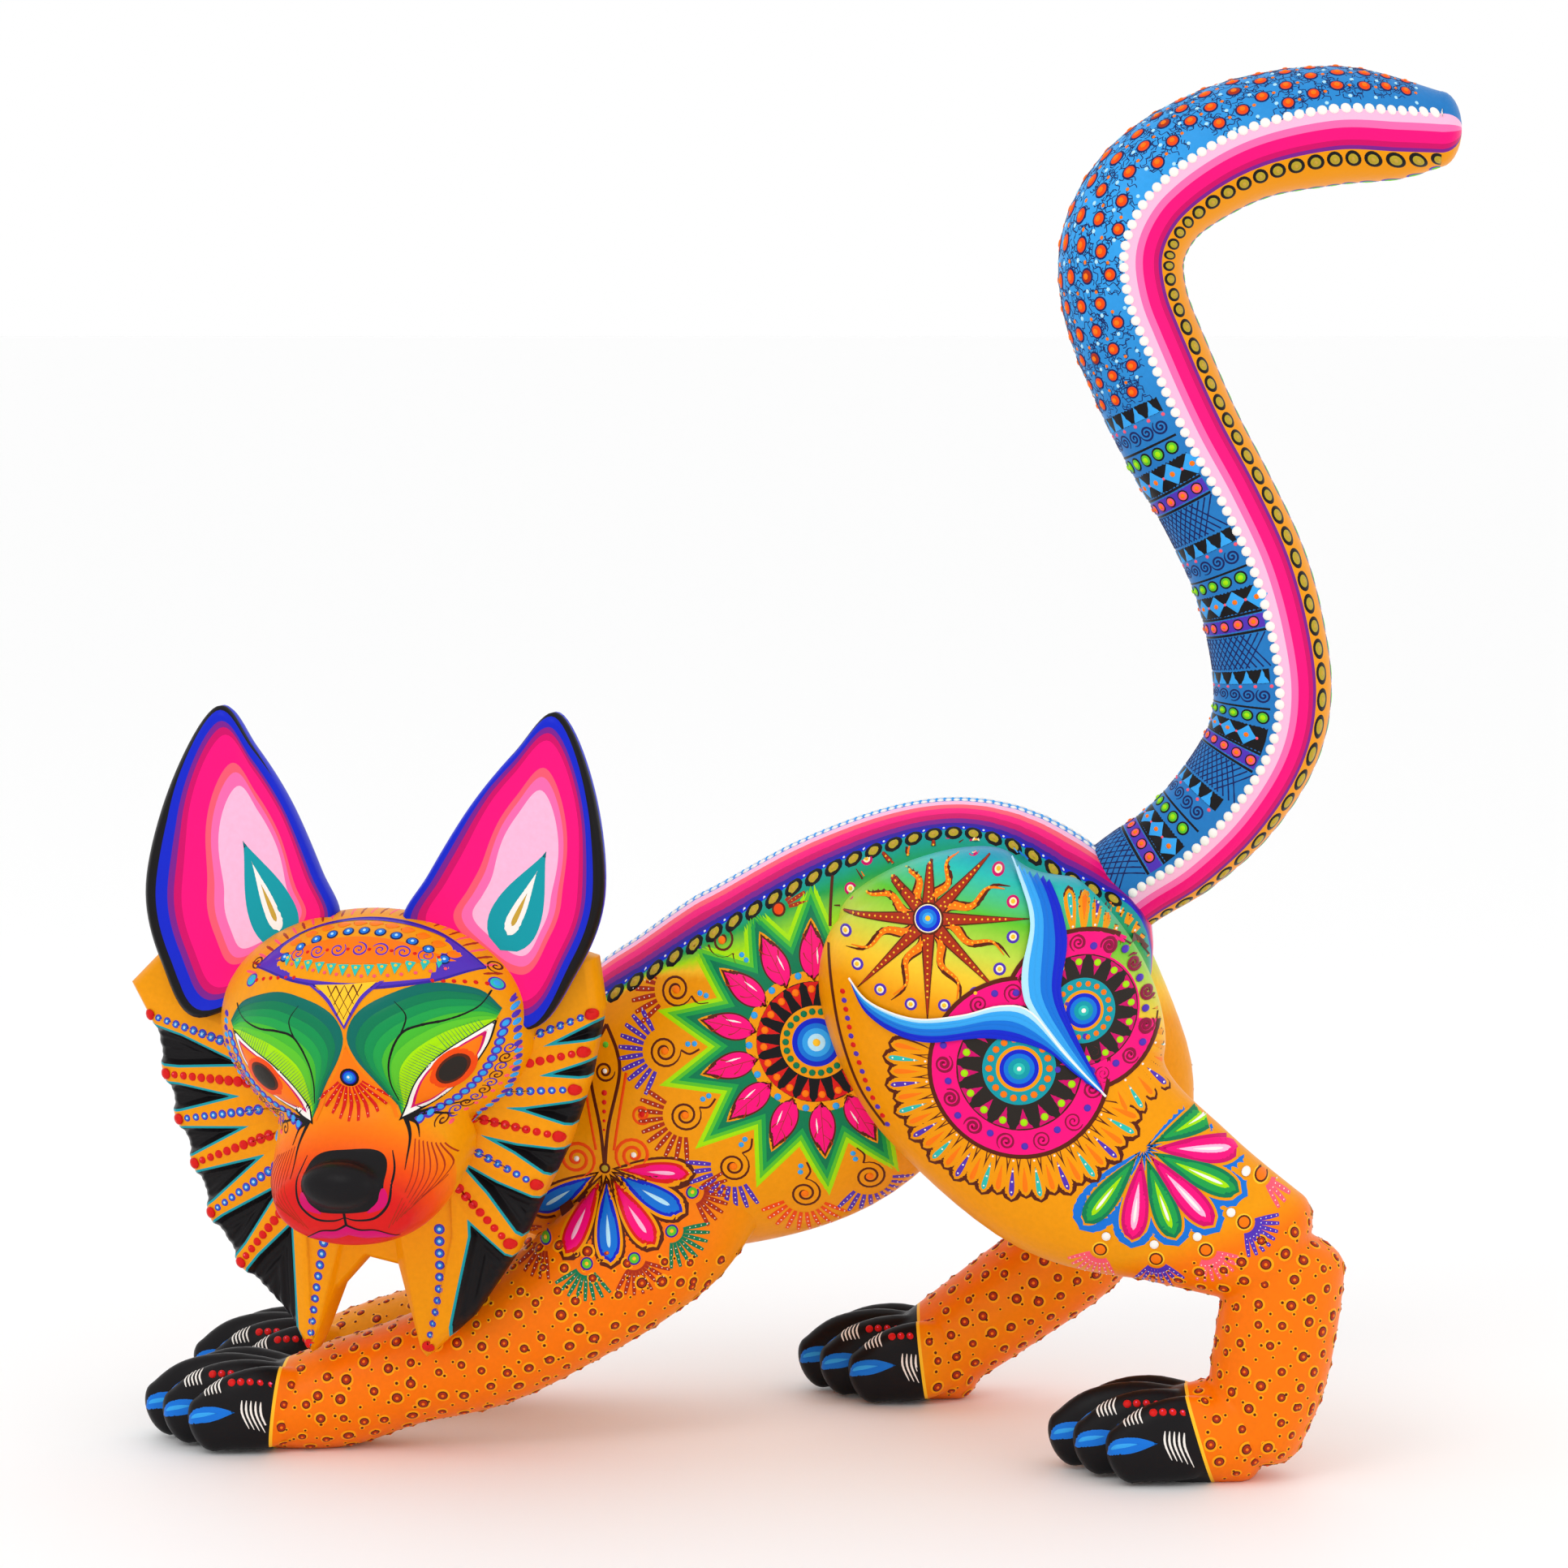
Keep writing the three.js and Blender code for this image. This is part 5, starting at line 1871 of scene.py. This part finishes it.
def paint_head(surface):
    """All the head's marks."""
    paint = Paint(surface, rolled(facing(HEAD_TURN)), 250)
    paint_snout(paint)
    for side in (-1, 1):
        paint_eye(paint, side)
        paint_temple(paint, side)
    paint_lattice(paint)
    paint.make("face_marks", "figure", "painted_head")
    paint_cap(surface)


# ---------------------------------------------------------------- Mane and ears


BEARD_ROWS = [[(-17.5, -50), (-21, -66), (-24, -83)], [(15.5, -48), (14.5, -66), (10.5, -82)]]


def lock_rows():
    """The rows of dots down the mane's locks, each from its inner end to its tip, and which are red."""
    for locks in MANE_LOCKS.values():
        for k, degrees in enumerate(locks):
            angle = math.radians(degrees)
            way = heading(angle)
            rim = float(rim_at(np.array([angle]))[0])
            yield MANE_HEART + way * np.linspace(rim - 28, rim - 2, 10)[:, None], k % 2
    for corners in BEARD_ROWS:
        yield even(curve(*corners), 11), False


def paint_mane(surface):
    """The rows of dots on the mane's locks and beard, with a small pale painted highlight on the dots of each
    row.
    """
    paint = Paint(surface, facing(MANE_TURN), 250)
    for row, red in lock_rows():
        for spot, radius in zip(row, np.linspace(1.6, 1.0, len(row))):
            if red:
                paint.dot("red", spot, radius, 0)
                # the coral spot set up and to the left on each red dot is a painted highlight
                paint.dot("coral", spot + [-0.2, 0.25], radius * 0.4, 4)
            else:
                paint.target(spot, [(radius, "violet"), (radius * 0.68, "azure")], 0)
                # the ice-blue spot on each blue dot is a painted highlight
                paint.dot("ice", spot, radius * 0.36, 2)
        paint.dot("red", row[-1], 1.6, 4)
    return paint.make("mane_marks", "figure", "painted_mane")


DROPS = {-1: ((-40.4, 58.6), (-28.0, 29.5)), 1: ((47.3, 58.0), (34.0, 30.5))}


def paint_ear(surface, side):
    """The drop on the front of one ear."""
    name = "left_ear" if side > 0 else "right_ear"
    paint = Paint(surface, facing(MANE_TURN), 250)
    top, bottom = np.array(DROPS[side][0]), np.array(DROPS[side][1])
    way = unit(bottom - top)
    paint.drop("teal", top, bottom, 14.5, 1, 0.72, notch=1.2)
    paint.drop("white", top + way * 6, bottom - way * 4.6, 6.4, 2, 0.78, notch=1.3)
    paint.drop("gold", top + way * 13, bottom - way * 7.4, 2.0, 3, 0.8)
    return paint.make(name + "_marks", name, "painted_ear")


def paint_ear_back(surface, side):
    """Rows of dots up the back of an ear."""
    name = "left_ear" if side > 0 else "right_ear"
    paint = Paint(surface, behind(MANE_TURN), 250)
    heart = np.array(EAR_HEARTS[side])
    rows = [(0.8, "white", "sky"), (0.6, "lime", "forest"), (0.4, "orange", "red"), (0.2, "pink", "ice")]
    for share, ring, core in rows:
        outline = even(heart + (rounded(ear_outline(side)) - heart) * share, int(46 * share))
        for spot in outline[:-1]:
            paint.target(spot, [(1.5, ring), (0.9, core)], 0)
    return paint.make(name + "_back_marks", name, "painted_ear")


# ---------------------------------------------------------------- Leg dots and paws


def paint_legs(name, surface):
    """A leg's ringed dots, each with a small orange painted highlight on top, and the specks between them."""
    side = -1 if name.startswith("left") else 1

    def bare(points):
        before = (into_paw(name, points) < -2.2) | (points[:, 2] > ANKLE + 2)
        outside = points[:, 1] * side > 18
        return before & (above_dots(name, points) < 0) & (points[:, 2] > 1.5) & outside

    spots, ways = sprinkled(surface, 400, 5.6, bare)
    size = rng.uniform(0.78, 1.18, len(spots))
    layers = [(1.95, "honey", 0, 0.1), (1.45, "brown", 1, 0.14), (1.1, "brick", 2, 0.24)]
    # the small orange spot on top of each ringed dot is a painted highlight
    layers += [(0.45, "orange", 4, 0.28)]
    beads(name + "_dots", spots, ways, layers, "figure", "painted_leg", size)
    spots, ways = sprinkled(surface, 700, 4.1, bare)
    size = rng.uniform(0.8, 1.2, len(spots))
    beads(name + "_specks", spots, ways, [(0.8, "honey", 0, 0.08), (0.42, "brown", 1, 0.16)], "figure",
          "painted_leg", size)


TOE_ENDS = {  # where each paw's foremost toe ends, and the paw's middle line
    "left_fore_leg": (-187, -29),
    "right_fore_leg": (-184, 29),
    "left_hind_leg": (71, -49),
    "right_hind_leg": (-5, 46),
}


def over_toe(x, y, side):
    """A chart on a toe, seen from above and one side: [across the toe, along it from its tip]."""
    down = unit(np.array([0.3, -0.62 * side, -0.72]))
    along = unit(np.array([1.0, 0, 0]) - down * down[0])
    across = np.cross(down, along)

    def chart(spots):
        place = np.array([x, y, 9.0]) + spots[:, :1] * across + spots[:, 1:] * along
        return place - down * 60, np.broadcast_to(down, place.shape)

    return chart


def paint_paw(name, surface):
    """A claw, a cuff of white hairs and a row of beads on each toe, each bead with a pink painted highlight.
    """
    end, y = TOE_ENDS[name]
    for k, back in enumerate(TOE_BACK):
        side = -1 if k < 3 else 1
        lobe = y + (k - 1.5) * TOE_APART
        chart = over_toe(end + back + 8, lobe + side * 2.0, side)
        paint = Paint(surface, chart, 130, lambda points: into_paw(name, points) > 1.6)
        paint.drop("azure", (0, 9), (0, -5.5), 3.6, 1, 0.66)
        paint.drop("sky", (0, 4), (0, -4), 1.2, 2, 0.66)
        for j in range(5):
            path = curve((-2.6, 11.6 + 1.2 * j), (0, 10.9 + 1.2 * j), (2.6, 11.6 + 1.2 * j), steps=4)
            paint.stroke("white", path, 0.3 * np.sin(np.linspace(0.3, 2.8, len(path))), 1)
        for j in range(7):
            paint.dot("red", (0, 19.6 + 2.6 * j), 1.15 - 0.09 * j, 0)
            # the pink spot set off the middle of each red bead is a painted highlight
            paint.dot("pink", (-0.2, 19.5 + 2.6 * j), 0.3, 5)
        paint.make(f"{name}_toe_{k + 1}", "figure", "painted_leg")


make_room()
make_camera()

torso = make_torso()
legs = make_legs()
tail = make_tail()
mane = make_mane()
head = make_head()
ears = {side: make_ear(side) for side in (-1, 1)}
make_joints()

for side in (-1, 1):
    paint_spine(torso, side)
    paint_flank(torso, side)
    paint_haunch(together(torso, legs[side_name(side) + "_hind_leg"]), side)
    shoulder = Paint(together(torso, legs[side_name(side) + "_fore_leg"]), from_side(side), 196)
    paint_shoulder(shoulder)
    shoulder.make(f"shoulder_marks_{side_name(side)}", "figure", "painted_body")
    paint_ear(ears[side], side)
    paint_ear_back(ears[side], side)
for name, surface in legs.items():
    paint_legs(name, surface)
    paint_paw(name, surface)
paint_tail(tail)
paint_head(head)
paint_mane(mane)
